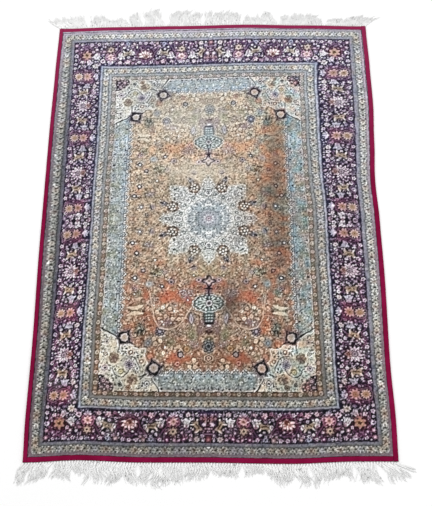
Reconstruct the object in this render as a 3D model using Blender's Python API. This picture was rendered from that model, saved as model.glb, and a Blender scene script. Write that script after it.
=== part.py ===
"""A hand-knotted Persian rug with crimson edge bindings and white cotton fringes, lying flat.

Metres, +Z up. The origin is on the floor under the middle of the rug, +X points to its right side
and +Y to its far end. The underside of every piece is flat at z = 0.
"""

import math
import random

import bmesh
import bpy
from mathutils import Vector

# Driving dimensions: the rug without its fringes, measured between the nominal outer edges.
RUG_WIDTH = 1.400
RUG_LENGTH = 2.000
BODY_THICKNESS = 0.007
BINDING_THICKNESS = 0.008
BINDING_WIDTH = {"left": 0.017, "right": 0.020, "near": 0.019, "far": 0.020}
PIECE_GAP = 0.0003

# The sign of the direction out of the rug at each edge, along X for the sides and Y for the ends.
OUTWARDS = {"left": -1, "right": 1, "near": -1, "far": 1}

# Every piece that follows an edge has its points at these steps along it.
STATION_PITCH = 0.050

# How far each edge bulges out past its nominal line, at places measured from the left or near corner.
# (place, bulge)
SIDE_BULGE = {
    "left": [
        (0.00, 0.004),
        (0.15, 0.008),
        (0.45, 0.006),
        (0.90, 0.011),
        (1.45, 0.011),
        (1.75, 0.008),
        (2.00, 0.004),
    ],
    "right": [
        (0.00, 0.002),
        (0.15, 0.004),
        (0.38, -0.002),
        (0.75, 0.002),
        (1.00, -0.001),
        (1.20, -0.008),
        (1.40, 0.001),
        (1.58, 0.008),
        (1.78, 0.005),
        (2.00, 0.000),
    ],
}
END_BULGE = {
    "near": [
        (0.00, 0.005),
        (0.20, -0.004),
        (0.45, 0.005),
        (0.65, 0.005),
        (1.00, 0.010),
        (1.25, 0.001),
        (1.40, 0.001),
    ],
    "far": [
        (0.00, 0.000),
        (0.25, 0.008),
        (0.55, 0.012),
        (0.85, 0.018),
        (1.10, 0.012),
        (1.40, 0.004),
    ],
}

# A binding's cross-section: a fold of wool over the edge, flat below and rounded above.
# (share of the width from the outer edge, share of the thickness)
BINDING_PROFILE = [
    (0.00, 0.00),
    (1.00, 0.00),
    (1.00, 0.70),
    (0.82, 0.94),
    (0.50, 1.00),
    (0.18, 0.94),
    (0.00, 0.62),
]

# Fringes: locks of cotton that leave a narrow row of knots.
LOCKS_PER_FRINGE = 130
KNOT_ROW_DEPTH = 0.007
KNOT_ROW_THICKNESS = 0.0042
LOCK_SHARE_OF_PITCH = 0.62
LOCK_WAVE = 0.0035
LOCK_WAVE_LENGTH = 0.130
LOCK_WAVE_TURNS_PER_METRE = 3.1
CLUMP_LOCKS = (3, 6)
CLUMP_CLOSING = 0.026
LENGTH_JITTER = 0.12
FRINGE_SEED = {"near": 11, "far": 23}

# The stages of a lock from its root to its tip.
# (share of the length, share of the root's width, share of the root's thickness)
LOCK_STAGES = [(0.30, 1.06, 1.00), (0.68, 0.92, 0.80), (1.00, 0.44, 0.40)]

# The fringe's length and lean at places measured from the left corner.
# A lean of 1 carries a lock as far to the right as it reaches outwards.
# (place, length, lean)
FRINGE_ROWS = {
    "near": [
        (0.00, 0.076, -0.46),
        (0.06, 0.074, -0.50),
        (0.11, 0.054, -0.46),
        (0.17, 0.072, -0.10),
        (0.22, 0.042, 0.05),
        (0.25, 0.080, 0.08),
        (0.40, 0.074, 0.04),
        (0.48, 0.086, 0.00),
        (0.60, 0.072, 0.05),
        (0.71, 0.050, 0.08),
        (0.80, 0.052, -0.05),
        (0.87, 0.036, 0.00),
        (0.96, 0.074, 0.05),
        (1.08, 0.080, 0.00),
        (1.20, 0.052, 0.12),
        (1.25, 0.078, 0.20),
        (1.33, 0.078, 0.36),
        (1.37, 0.060, 0.95),
        (1.40, 0.028, 2.50),
    ],
    "far": [
        (0.00, 0.050, -1.15),
        (0.05, 0.066, -0.70),
        (0.12, 0.072, -0.25),
        (0.20, 0.068, -0.05),
        (0.24, 0.042, -0.15),
        (0.32, 0.060, -0.20),
        (0.36, 0.080, -0.08),
        (0.43, 0.094, 0.05),
        (0.55, 0.087, 0.12),
        (0.68, 0.085, 0.15),
        (0.77, 0.082, 0.28),
        (0.83, 0.052, 0.35),
        (0.88, 0.046, 0.36),
        (0.93, 0.084, 0.38),
        (0.98, 0.056, 0.42),
        (1.12, 0.070, 0.44),
        (1.19, 0.042, 0.45),
        (1.27, 0.044, 0.50),
        (1.34, 0.062, 0.80),
        (1.40, 0.050, 1.55),
    ],
}

# The colour as red, green and blue, and the roughness.
MATERIAL_LOOKS = {
    "pile_wool": ((0.42, 0.27, 0.20), 0.90),
    "crimson_wool": ((0.30, 0.008, 0.05), 0.80),
    "white_cotton": ((0.82, 0.81, 0.78), 0.85),
}


def clear_scene():
    for thing in list(bpy.data.objects):
        bpy.data.objects.remove(thing, do_unlink=True)


def material(name):
    """The named Principled material, made on first use."""
    if name in bpy.data.materials:
        return bpy.data.materials[name]
    colour, roughness = MATERIAL_LOOKS[name]
    made = bpy.data.materials.new(name)
    made.use_nodes = True
    made.diffuse_color = (*colour, 1.0)
    shader = made.node_tree.nodes["Principled BSDF"]
    shader.inputs["Base Color"].default_value = (*colour, 1.0)
    shader.inputs["Roughness"].default_value = roughness
    shader.inputs["Metallic"].default_value = 0.0
    return made


def add_node(name, shape, material_name):
    """Turns a finished bmesh into the object of one node."""
    bmesh.ops.recalc_face_normals(shape, faces=shape.faces)
    mesh = bpy.data.meshes.new(name)
    shape.to_mesh(mesh)
    shape.free()
    mesh.materials.append(material(material_name))
    thing = bpy.data.objects.new(name, mesh)
    bpy.context.scene.collection.objects.link(thing)
    return thing


def smooth_between(rows, place, column=1):
    """The column's value at a place, eased from each row of the table to the next."""
    if place <= rows[0][0]:
        return rows[0][column]
    for low, high in zip(rows, rows[1:]):
        if place <= high[0]:
            share = (place - low[0]) / (high[0] - low[0])
            eased = share * share * (3 - 2 * share)
            return low[column] + (high[column] - low[column]) * eased
    return rows[-1][column]


def along_stations(rows, place):
    """The table's smooth value, kept straight between two stations so that neighbours stay parallel."""
    step = place // STATION_PITCH
    low, high = step * STATION_PITCH, (step + 1) * STATION_PITCH
    share = (place - low) / STATION_PITCH
    return smooth_between(rows, low) * (1 - share) + smooth_between(rows, high) * share


def side_x(side, y, inset=0.0):
    """The x of a long edge at y, moved inwards by the inset."""
    bulge = along_stations(SIDE_BULGE[side], y + RUG_LENGTH / 2)
    return OUTWARDS[side] * (RUG_WIDTH / 2 + bulge - inset)


def end_y(end, x, inset=0.0):
    """The y of a short edge at x, moved inwards by the inset."""
    bulge = along_stations(END_BULGE[end], x + RUG_WIDTH / 2)
    return OUTWARDS[end] * (RUG_LENGTH / 2 + bulge - inset)


def corner(side, end, side_inset=0.0, end_inset=0.0):
    """Where a long and a short edge meet, each moved inwards by its own inset."""
    x, y = side_x(side, 0.0, side_inset), end_y(end, 0.0, end_inset)
    for _ in range(4):
        x, y = side_x(side, y, side_inset), end_y(end, x, end_inset)
    return x, y


def stations(start, stop, origin):
    """The start, the stop and the edge stations between them; the origin is the nominal first corner."""
    inner = []
    step = 1 + (start - origin) // STATION_PITCH
    while origin + step * STATION_PITCH < stop:
        place = origin + step * STATION_PITCH
        if place - start > STATION_PITCH / 10 and stop - place > STATION_PITCH / 10:
            inner.append(place)
        step += 1
    return [start, *inner, stop]


def slab(outline, thickness):
    """A flat sheet with the outline and a flat underside at z = 0."""
    shape = bmesh.new()
    underside = shape.faces.new([shape.verts.new((x, y, 0.0)) for x, y in outline])
    raised = bmesh.ops.extrude_face_region(shape, geom=[underside])["geom"]
    raised_points = [item for item in raised if isinstance(item, bmesh.types.BMVert)]
    bmesh.ops.translate(shape, vec=(0.0, 0.0, thickness), verts=raised_points)
    return shape


def make_body():
    """The knotted cloth inside the four bindings."""
    inset = {edge: width + PIECE_GAP for edge, width in BINDING_WIDTH.items()}
    corners = {
        (side, end): corner(side, end, inset[side], inset[end]) for side in SIDE_BULGE for end in END_BULGE
    }
    outline = []
    for end, side_order in (("near", ("left", "right")), ("far", ("right", "left"))):
        first, last = (corners[side, end][0] for side in side_order)
        places = stations(min(first, last), max(first, last), -RUG_WIDTH / 2)
        run = [(x, end_y(end, x, inset[end])) for x in places]
        outline += run if end == "near" else run[::-1]
        side = side_order[1]
        low, high = corners[side, "near"][1], corners[side, "far"][1]
        run = [(side_x(side, y, inset[side]), y) for y in stations(low, high, -RUG_LENGTH / 2)[1:-1]]
        outline += run if side == "right" else run[::-1]
    return add_node("rug_body", slab(outline, BODY_THICKNESS), "pile_wool")


def swept_strip(name, outer, inner):
    """A binding: its profile carried along matching points of its outer and inner edges."""
    shape = bmesh.new()
    rings = []
    for (outer_x, outer_y), (inner_x, inner_y) in zip(outer, inner):
        rings.append(
            [
                shape.verts.new(
                    (
                        outer_x + (inner_x - outer_x) * across,
                        outer_y + (inner_y - outer_y) * across,
                        BINDING_THICKNESS * up,
                    )
                )
                for across, up in BINDING_PROFILE
            ]
        )
    for ring, following in zip(rings, rings[1:]):
        for i in range(len(ring)):
            shape.faces.new((ring[i - 1], ring[i], following[i], following[i - 1]))
    shape.faces.new(rings[0])
    shape.faces.new(rings[-1])
    return add_node(name, shape, "crimson_wool")


def make_side_binding(side):
    """A selvedge binding over the rug's whole length."""
    width = BINDING_WIDTH[side]
    outer_ends = [corner(side, end)[1] for end in END_BULGE]
    inner_ends = [corner(side, end, width)[1] for end in END_BULGE]
    places = stations(*outer_ends, -RUG_LENGTH / 2)
    outer = [(side_x(side, y), y) for y in places]
    places[0], places[-1] = inner_ends
    inner = [(side_x(side, y, width), y) for y in places]
    return swept_strip(f"binding_{side}", outer, inner)


def make_end_binding(end):
    """A binding across one end, from one side binding to the other."""
    width = BINDING_WIDTH[end]
    inset = {side: BINDING_WIDTH[side] + PIECE_GAP for side in SIDE_BULGE}
    outer_ends = [corner(side, end, inset[side])[0] for side in SIDE_BULGE]
    inner_ends = [corner(side, end, inset[side], width)[0] for side in SIDE_BULGE]
    places = stations(*outer_ends, -RUG_WIDTH / 2)
    outer = [(x, end_y(end, x)) for x in places]
    places[0], places[-1] = inner_ends
    inner = [(x, end_y(end, x, width)) for x in places]
    return swept_strip(f"binding_{end}", outer, inner)


def wave(root_x, reach):
    """A lock's sideways swing this far out, nearly the same for neighbours so that they never cross."""
    start = root_x * LOCK_WAVE_TURNS_PER_METRE
    turns = start + reach / LOCK_WAVE_LENGTH
    return LOCK_WAVE * (math.sin(math.tau * turns) - math.sin(math.tau * start))


def clump_leans(draw, count):
    """A small lean for each lock that closes the locks of one clump and parts the clumps."""
    leans = []
    while len(leans) < count:
        locks = draw.randint(*CLUMP_LOCKS)
        leans += [CLUMP_CLOSING * ((locks - 1) / 2 - i) for i in range(locks)]
    return leans[:count]


def knot_row(shape, end):
    """Adds the narrow row of knots beside an end binding and returns the face that each lock leaves."""
    outwards = OUTWARDS[end]
    left, right = corner("left", end)[0], corner("right", end)[0]
    pitch = (right - left) / LOCKS_PER_FRINGE
    rings = []
    for lock in range(LOCKS_PER_FRINGE):
        middle = left + pitch * (lock + 0.5)
        for side in (-1, 1):
            x = middle + side * pitch * LOCK_SHARE_OF_PITCH / 2
            inner = end_y(end, x) + outwards * PIECE_GAP
            outer = inner + outwards * KNOT_ROW_DEPTH
            section = [(inner, 0.0), (outer, 0.0), (outer, KNOT_ROW_THICKNESS), (inner, KNOT_ROW_THICKNESS)]
            rings.append([shape.verts.new((x, y, z)) for y, z in section])
    roots = []
    for number, (ring, following) in enumerate(zip(rings, rings[1:])):
        faces = []
        for i in range(len(ring)):
            j = (i + 1) % len(ring)
            faces.append(shape.faces.new((ring[i], following[i], following[j], ring[j])))
        if number % 2 == 0:
            roots.append(faces[1])
    shape.faces.new(rings[0])
    shape.faces.new(rings[-1])
    bmesh.ops.recalc_face_normals(shape, faces=shape.faces)
    return roots


def extrude_lock(shape, root, outwards, length, lean):
    """Extrudes a root face stage by stage into a tapering lock whose underside stays on the floor."""
    start = root.calc_center_median()
    corners = [vert.co.copy() for vert in root.verts]
    half_width = max(point.x for point in corners) - start.x
    heading = Vector((lean, outwards, 0.0)).normalized()
    # A leaning lock is narrower across, so that it stays as far from its neighbours.
    across = Vector((heading.y, -heading.x, 0.0)) * heading.y
    face = root
    for share, width_share, thickness_share in LOCK_STAGES:
        reach = length * share
        x = start.x + lean * reach + wave(start.x, reach)
        centre = Vector((x, start.y + outwards * reach, 0.0))
        face = bmesh.ops.extrude_discrete_faces(shape, faces=[face])["faces"][0]
        for vert, point in zip(face.verts, corners):
            side = 1 if point.x > start.x else -1
            vert.co = centre + across * (side * half_width * width_share)
            vert.co.z = point.z * thickness_share


def make_fringe(end):
    """The knot row along one end and its locks, which lie level on the floor."""
    draw = random.Random(FRINGE_SEED[end])
    shape = bmesh.new()
    roots = knot_row(shape, end)
    for root, clump_lean in zip(roots, clump_leans(draw, len(roots))):
        place = root.calc_center_median().x + RUG_WIDTH / 2
        length = smooth_between(FRINGE_ROWS[end], place, 1) - KNOT_ROW_DEPTH
        length *= 1 + draw.uniform(-LENGTH_JITTER, LENGTH_JITTER)
        lean = smooth_between(FRINGE_ROWS[end], place, 2) + clump_lean
        extrude_lock(shape, root, OUTWARDS[end], length, lean)
    return add_node(f"fringe_{end}", shape, "white_cotton")


def main():
    clear_scene()
    make_body()
    for side in SIDE_BULGE:
        make_side_binding(side)
    for end in END_BULGE:
        make_end_binding(end)
        make_fringe(end)


main()
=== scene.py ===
"""The looks of a hand-knotted Persian rug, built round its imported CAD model.

Metres, +Z up, in the frame of the model: the origin is on the floor under the rug's middle, +X points to
its right side and +Y to its far end. The pattern is worked out in millimetres, knot by knot.
"""

import math
import random

import bpy
import numpy as np
from mathutils import Matrix, Vector


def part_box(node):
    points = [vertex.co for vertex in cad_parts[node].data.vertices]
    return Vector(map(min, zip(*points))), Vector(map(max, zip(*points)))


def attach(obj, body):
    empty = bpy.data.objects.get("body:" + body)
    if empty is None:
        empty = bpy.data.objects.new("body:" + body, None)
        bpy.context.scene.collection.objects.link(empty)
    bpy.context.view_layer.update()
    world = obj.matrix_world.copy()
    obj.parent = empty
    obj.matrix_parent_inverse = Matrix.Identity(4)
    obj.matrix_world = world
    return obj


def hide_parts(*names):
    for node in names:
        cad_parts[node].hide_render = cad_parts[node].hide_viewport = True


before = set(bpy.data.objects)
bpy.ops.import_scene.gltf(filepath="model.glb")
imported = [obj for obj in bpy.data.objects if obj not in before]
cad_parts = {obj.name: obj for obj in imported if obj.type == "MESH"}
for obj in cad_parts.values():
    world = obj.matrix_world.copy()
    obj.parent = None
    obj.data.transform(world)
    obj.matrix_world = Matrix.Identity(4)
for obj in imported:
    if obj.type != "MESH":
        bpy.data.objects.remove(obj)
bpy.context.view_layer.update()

EDGES = ("left", "right", "near", "far")
MM = 0.001

# The camera stands beyond the near end and looks down on the rug.
CAMERA_PLACE = (0.076, -1.880, 3.704)
CAMERA_LENS = 70.9
CAMERA_TILT, CAMERA_YAW, CAMERA_ROLL = 25.19, 1.90, -1.90  # degrees; a tilt of 0 looks straight down

FLOOR_SIZE = 14.0
FLOOR_GAP = 0.0004  # from the floor up to the rug
FLOOR_COLOUR = (0.90, 0.90, 0.90)
SKY_STRENGTH = 0.78
# Soft lights: place, the point it faces, size, watts.
LIGHTS = {
    "overhead_softbox": ((-1.2, 1.6, 4.2), (0.0, 0.2, 0.0), 3.6, 92.0),
    "side_softbox": ((2.8, -1.6, 3.0), (0.0, 0.0, 0.0), 2.6, 26.0),
}


# ------------------------------------------------------------------ camera, floor and lights


def add_camera():
    """The camera, where the photo was taken from."""
    camera = bpy.data.cameras.new("camera")
    camera.lens = CAMERA_LENS
    camera.sensor_width = 36.0
    holder = bpy.data.objects.new("camera", camera)
    bpy.context.scene.collection.objects.link(holder)
    yaw, tilt, roll = (math.radians(a) for a in (CAMERA_YAW, CAMERA_TILT, CAMERA_ROLL))
    turn = Matrix.Rotation(yaw, 4, "Z") @ Matrix.Rotation(tilt, 4, "X") @ Matrix.Rotation(roll, 4, "Z")
    holder.matrix_world = Matrix.Translation(CAMERA_PLACE) @ turn
    bpy.context.scene.camera = holder


def add_lights():
    """Two soft lights under an even pale sky."""
    for name, (place, target, size, watts) in LIGHTS.items():
        light = bpy.data.lights.new(name, "AREA")
        light.size, light.energy = size, watts
        holder = bpy.data.objects.new(name, light)
        holder.location = place
        holder.rotation_euler = (Vector(target) - Vector(place)).to_track_quat("-Z", "Y").to_euler()
        bpy.context.scene.collection.objects.link(holder)
    world = bpy.data.worlds.new("studio")
    world.use_nodes = True
    world.node_tree.nodes["Background"].inputs["Color"].default_value = (1.0, 1.0, 1.0, 1.0)
    world.node_tree.nodes["Background"].inputs["Strength"].default_value = SKY_STRENGTH
    bpy.context.scene.world = world
    bpy.context.scene.view_settings.view_transform = "Standard"


# ------------------------------------------------------------------ materials


class Surface:
    """A Principled material whose nodes are added in short lines."""

    def __init__(self, name):
        self.material = bpy.data.materials.new(name)
        self.material.use_nodes = True
        self.tree = self.material.node_tree
        self.shader = self.tree.nodes["Principled BSDF"]
        self.places = self.add("ShaderNodeTexCoord").outputs["Object"]

    def add(self, kind, **settings):
        node = self.tree.nodes.new(kind)
        for name, value in settings.items():
            setattr(node, name, value)
        return node

    def link(self, output, target):
        self.tree.links.new(output, target)

    def noise(self, scale, detail=2.0, stretch=(1, 1, 1), roughness=0.5):
        mapping = self.add("ShaderNodeMapping")
        mapping.inputs["Scale"].default_value = stretch
        self.link(self.places, mapping.inputs["Vector"])
        noise = self.add("ShaderNodeTexNoise")
        noise.inputs["Scale"].default_value = scale
        noise.inputs["Detail"].default_value = detail
        noise.inputs["Roughness"].default_value = roughness
        self.link(mapping.outputs["Vector"], noise.inputs["Vector"])
        return noise.outputs["Fac"]

    def remap(self, value, low, high, start=0.0, stop=1.0):
        """The value's range from start to stop becomes low to high."""
        node = self.add("ShaderNodeMapRange")
        for name, number in (("From Min", start), ("From Max", stop), ("To Min", low), ("To Max", high)):
            node.inputs[name].default_value = number
        self.link(value, node.inputs["Value"])
        return node.outputs["Result"]

    def math(self, operation, a, b):
        node = self.add("ShaderNodeMath", operation=operation)
        for socket, value in zip(node.inputs, (a, b)):
            if isinstance(value, (int, float)):
                socket.default_value = value
            else:
                self.link(value, socket)
        return node.outputs["Value"]

    def scaled(self, colour, factor):
        """A colour made lighter or darker by a factor that varies."""
        node = self.add("ShaderNodeVectorMath", operation="SCALE")
        self.link(colour, node.inputs[0])
        self.link(factor, node.inputs["Scale"])
        return node.outputs["Vector"]

    def blend(self, factor, a, b):
        """From colour a to colour b. Each is a colour or an output."""
        node = self.add("ShaderNodeMix", data_type="RGBA")
        self.link(factor, node.inputs["Factor"])
        for name, value in (("A", a), ("B", b)):
            socket = [s for s in node.inputs if s.name == name and s.type == "RGBA"][0]
            if isinstance(value, tuple):
                socket.default_value = (*value, 1.0)
            else:
                self.link(value, socket)
        return [s for s in node.outputs if s.type == "RGBA"][0]

    def bump(self, height, distance, strength=1.0, under=None):
        node = self.add("ShaderNodeBump")
        node.inputs["Distance"].default_value = distance
        node.inputs["Strength"].default_value = strength
        self.link(height, node.inputs["Height"])
        if under is not None:
            self.link(under, node.inputs["Normal"])
        return node.outputs["Normal"]

    def finish(self, colour, roughness, normal, sheen=0.0, sheen_tint=(1, 1, 1), specular=0.2):
        inputs = self.shader.inputs
        self.link(colour, inputs["Base Color"])
        self.link(roughness, inputs["Roughness"])
        self.link(normal, inputs["Normal"])
        inputs["Specular IOR Level"].default_value = specular
        inputs["Sheen Weight"].default_value = sheen
        inputs["Sheen Roughness"].default_value = 0.5
        inputs["Sheen Tint"].default_value = (*sheen_tint, 1.0)
        return self.material


def make_floor():
    """A plain pale floor, far wider than the rug."""
    half = FLOOR_SIZE / 2
    mesh = bpy.data.meshes.new("floor")
    corners = [(-half, -half, 0), (half, -half, 0), (half, half, 0), (-half, half, 0)]
    mesh.from_pydata(corners, [], [(0, 1, 2, 3)])
    floor = bpy.data.objects.new("floor", mesh)
    floor.location.z = -FLOOR_GAP
    bpy.context.scene.collection.objects.link(floor)
    surface = Surface("pale_floor")
    tone = surface.remap(surface.noise(3.0), 0.985, 1.0)
    node = surface.add("ShaderNodeRGB")
    node.outputs[0].default_value = (*FLOOR_COLOUR, 1.0)
    mesh.materials.append(
        surface.finish(
            surface.scaled(node.outputs[0], tone),
            surface.remap(surface.noise(40.0), 0.75, 0.85),
            surface.bump(surface.noise(60.0), 0.0002),
        )
    )


# ------------------------------------------------------------------ the knot chart
# The pattern is drawn in millimetres from the rug's middle, +x to its right side and +y to its far end,
# as one dye for each cell. A quarter is drawn and mirrored, as a weaver reads it, and then what
# isn't mirrored is drawn over the whole.

CELL = 1.4  # mm, half of the pitch of the pile's mesh
HALF_WIDTH, HALF_LENGTH = 700.0, 1000.0  # to the outer edge of the crimson
SPLINE_STEPS = 14  # from each point of a curve to the next

# Dye: (its colour at the near end), (the same dye at the far end, painted paler because the pile's sheen and
# the light brighten that end), in sRGB.
DYES = {
    "crimson": ((126, 6, 50), (150, 60, 96)),
    "wine": ((98, 14, 44), (124, 50, 78)),
    "night": ((18, 12, 34), (34, 28, 58)),
    "navy": ((18, 22, 48), (36, 42, 76)),
    "indigo": ((42, 42, 84), (76, 76, 112)),
    "plum": ((44, 16, 42), (58, 36, 68)),
    "magenta": ((140, 38, 84), (136, 78, 112)),
    "mauve": ((118, 88, 116), (136, 118, 140)),
    "rose": ((188, 94, 104), (182, 130, 146)),
    "blush": ((216, 182, 184), (216, 198, 210)),
    "pink": ((208, 146, 138), (204, 164, 166)),
    "orange": ((194, 118, 78), (192, 144, 116)),
    "red": ((142, 44, 42), (142, 82, 78)),
    "rust": ((156, 76, 50), (152, 108, 92)),
    "brown": ((82, 58, 46), (100, 82, 74)),
    "taupe": ((122, 102, 90), (136, 124, 114)),
    "gold": ((172, 138, 84), (172, 154, 116)),
    "yellow": ((206, 194, 122), (202, 196, 152)),
    "cream": ((214, 192, 160), (208, 202, 186)),
    "sand": ((190, 164, 136), (202, 190, 168)),
    "ivory": ((210, 203, 182), (204, 210, 212)),
    "white": ((230, 228, 218), (232, 232, 230)),
    "lace": ((184, 184, 170), (192, 194, 188)),
    "lilac": ((176, 172, 188), (184, 186, 200)),
    "silver": ((144, 144, 146), (156, 158, 166)),
    "slate": ((116, 122, 124), (136, 144, 152)),
    "steel": ((72, 80, 92), (96, 106, 122)),
    "sky": ((144, 164, 170), (144, 170, 192)),
    "haze": ((156, 168, 174), (158, 172, 178)),
    "panel": ((150, 156, 152), (154, 168, 174)),
    "teal": ((78, 102, 104), (100, 124, 132)),
    "olive": ((84, 80, 56), (108, 106, 86)),
    "moss": ((122, 128, 96), (144, 148, 120)),
    "sage": ((122, 118, 98), (144, 142, 122)),
    "pine": ((34, 38, 36), (58, 66, 70)),
    "edging": ((106, 104, 110), (158, 162, 174)),
    "guard": ((98, 96, 94), (126, 132, 146)),
    "stripe": ((106, 106, 112), (138, 138, 150)),
    "inner": ((146, 148, 146), (162, 168, 180)),
    "greyish": ((116, 115, 118), (157, 168, 184)),
    "straw": ((116, 98, 78), (149, 166, 178)),
    "clay": ((178, 92, 66), (204, 164, 132)),
    "field": ((186, 96, 66), (206, 172, 132)),
}
DYE = {name: number for number, name in enumerate(DYES)}

# Where each band starts, in mm inwards from the outer edge.
CRIMSON, LILAC_EDGE, OUTER_GUARD, OUTER_STRIPE = 16.0, 19.0, 28.0, 56.0
MAIN_BORDER, INNER_STRIPE, INNER_GUARD, GREY_STRIPE = 71.0, 199.0, 212.0, 241.0
GOLD_GUARD, DARK_LINE, PANEL, ZIGZAG, FIELD = 255.0, 274.0, 277.0, 342.0, 361.0


def rows_of(table):
    """The rows of a table written as "1 2 navy/3 4 white": numbers, and words where it isn't a number."""
    for row in table.split("/"):
        yield [part if part.isalpha() else float(part) for part in row.split()]


def polar(u, v):
    return np.hypot(u, v), np.arctan2(v, u)


def smooth_ramp(value, start, stop):
    t = np.clip((value - start) / (stop - start), 0, 1)
    return t * t * (3 - 2 * t)


def soft_noise(shape, cells, rng):
    """Smooth noise from -1 to 1: random values on a coarse grid, blended between its points."""
    rows, columns = max(2, int(cells[0])), max(2, int(cells[1]))
    values = rng.uniform(-1, 1, (rows + 1, columns + 1))
    i, j = np.linspace(0, rows, shape[0]), np.linspace(0, columns, shape[1])
    i0, j0 = np.minimum(i.astype(int), rows - 1), np.minimum(j.astype(int), columns - 1)
    a, b = smooth_ramp(i - i0, 0, 1)[:, None], smooth_ramp(j - j0, 0, 1)[None, :]
    top = values[i0][:, j0] * (1 - b) + values[i0][:, j0 + 1] * b
    low = values[i0 + 1][:, j0] * (1 - b) + values[i0 + 1][:, j0 + 1] * b
    return top * (1 - a) + low * a


def spline(points):
    """A smooth curve through points (Catmull-Rom), as an array."""
    p = np.array(points, float)
    p = np.vstack([2 * p[0] - p[1], p, 2 * p[-1] - p[-2]])
    t = np.linspace(0, 1, SPLINE_STEPS, endpoint=False)[:, None]
    parts = [
        0.5 * (2 * b + (c - a) * t + (2 * a - 5 * b + 4 * c - d) * t**2 + (3 * b - a - 3 * c + d) * t**3)
        for a, b, c, d in zip(p, p[1:], p[2:], p[3:])
    ]
    return np.vstack(parts + [p[-2:-1]])


class Chart:
    """Part of the pattern, one dye a cell."""

    def __init__(self, left, right, near, far):
        self.x = np.arange(left + CELL / 2, right, CELL)
        self.y = np.arange(near + CELL / 2, far, CELL)
        self.dye = np.zeros((len(self.y), len(self.x)), np.uint8)

    def stroke(self, points, width, dye):
        """A line of that width along points."""
        p = np.array(points, float)
        lengths = np.hypot(*np.diff(p, axis=0).T)
        places = np.concatenate([[0], np.cumsum(lengths)])
        dense = np.arange(0, places[-1] + CELL / 2, CELL / 2)
        path = np.stack([np.interp(dense, places, p[:, 0]), np.interp(dense, places, p[:, 1])], 1)
        reach = int(width / 2 / CELL + 1)
        for i in range(-reach, reach + 1):
            for j in range(-reach, reach + 1):
                if np.hypot(i, j) * CELL <= width / 2:
                    column = np.round((path[:, 0] - self.x[0]) / CELL).astype(int) + i
                    row = np.round((path[:, 1] - self.y[0]) / CELL).astype(int) + j
                    on = (column >= 0) & (column < len(self.x)) & (row >= 0) & (row < len(self.y))
                    self.dye[row[on], column[on]] = DYE[dye]

    def at(self, x, y, reach, turn=0.0, size=1.0, flip=1):
        return Window(self, x, y, reach, turn, size, flip)


class Window:
    """The cells round (x, y), with axes of their own, turned by turn degrees and size times as large."""

    def __init__(self, chart, x, y, reach, turn, size, flip):
        far = reach * size
        rows = slice(*np.searchsorted(chart.y, (y - far, y + far)))
        columns = slice(*np.searchsorted(chart.x, (x - far, x + far)))
        self.cells = chart.dye[rows, columns]
        across, along = np.meshgrid(chart.x[columns] - x, chart.y[rows] - y)
        c, s = math.cos(math.radians(turn)), math.sin(math.radians(turn))
        self.u = (across * c + along * s) / size * flip
        self.v = (along * c - across * s) / size

    def paint(self, inside, dye):
        self.cells[inside] = DYE[dye]

    def disc(self, u, v, radius, dye, tall=1.0):
        self.paint(np.hypot(self.u - u, (self.v - v) / tall) < radius, dye)

    def discs(self, table, sides=(1,)):
        """Discs, from rows of: u, v, radius, dye. Each is drawn once for every side, u times that side."""
        for u, v, radius, dye in rows_of(table):
            for side in sides:
                self.disc(side * u, v, radius, dye)

    def flower(self, u, v, radius, dye, petals, depth, turn=0.0, tall=1.0):
        """A disc with that many round petals, notched to depth times its radius."""
        r, angle = polar(self.u - u, (self.v - v) / tall)
        notch = 1 - np.abs(np.cos(petals / 2 * (angle - math.radians(turn)))) ** 0.7
        self.paint(r < radius * (1 - depth * notch), dye)

    def rings(self, u, v, table, petals, depth, turn=0.0, tall=1.0):
        """Flowers inside one another, from rows of: radius, dye."""
        for radius, dye in rows_of(table):
            self.flower(u, v, radius, dye, petals, depth, turn, tall)

    def star(self, u, v, radius, dye, points, depth, turn=0.0):
        """A star with that many straight-sided points."""
        r, angle = polar(self.u - u, self.v - v)
        wave = np.abs((points * (angle - math.radians(turn)) / np.pi) % 2 - 1)
        self.paint(r < radius * (1 - depth * (1 - wave)), dye)

    def leaf(self, u0, v0, u1, v1, width, dye, bend=0.0):
        """A pointed leaf from one end to the other, curved sideways by bend."""
        length = math.hypot(u1 - u0, v1 - v0)
        cu, cv = (u1 - u0) / length, (v1 - v0) / length
        along = ((self.u - u0) * cu + (self.v - v0) * cv) / length
        side = (self.v - v0) * cu - (self.u - u0) * cv - bend * 4 * along * (1 - along)
        span = np.clip(along * (1 - along) * 4, 0, 1)
        self.paint((np.abs(side) < width / 2 * span**0.8) & (along > 0) & (along < 1), dye)

    def shape(self, points, dye):
        """A filled outline."""
        inside = np.zeros(self.u.shape, bool)
        for (u0, v0), (u1, v1) in zip(points, [*points[1:], points[0]]):
            if v0 != v1:
                cross = u0 + (self.v - v0) * (u1 - u0) / (v1 - v0)
                inside ^= ((self.v >= min(v0, v1)) & (self.v < max(v0, v1))) & (self.u < cross)
        self.paint(inside, dye)


def grain_of(chart, size, rng):
    """Smooth noise over the chart whose patches are about size mm wide."""
    rows, columns = chart.dye.shape
    return soft_noise(chart.dye.shape, (rows * CELL / size, columns * CELL / size), rng)


def mottle(chart, ground, size, shares, seed, where=True):
    """Blotches about size mm wide over the grounds named, from rows of: dye, share of the ground."""
    rng = np.random.default_rng(seed)
    for dye, share in rows_of(shares):
        on = np.isin(chart.dye, [DYE[name] for name in ground.split()]) & where
        noise = grain_of(chart, size, rng) + 0.5 * grain_of(chart, size * 0.45, rng)
        if on.any():
            chart.dye[on & (noise > np.quantile(noise[on], 1 - share))] = DYE[dye]


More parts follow.
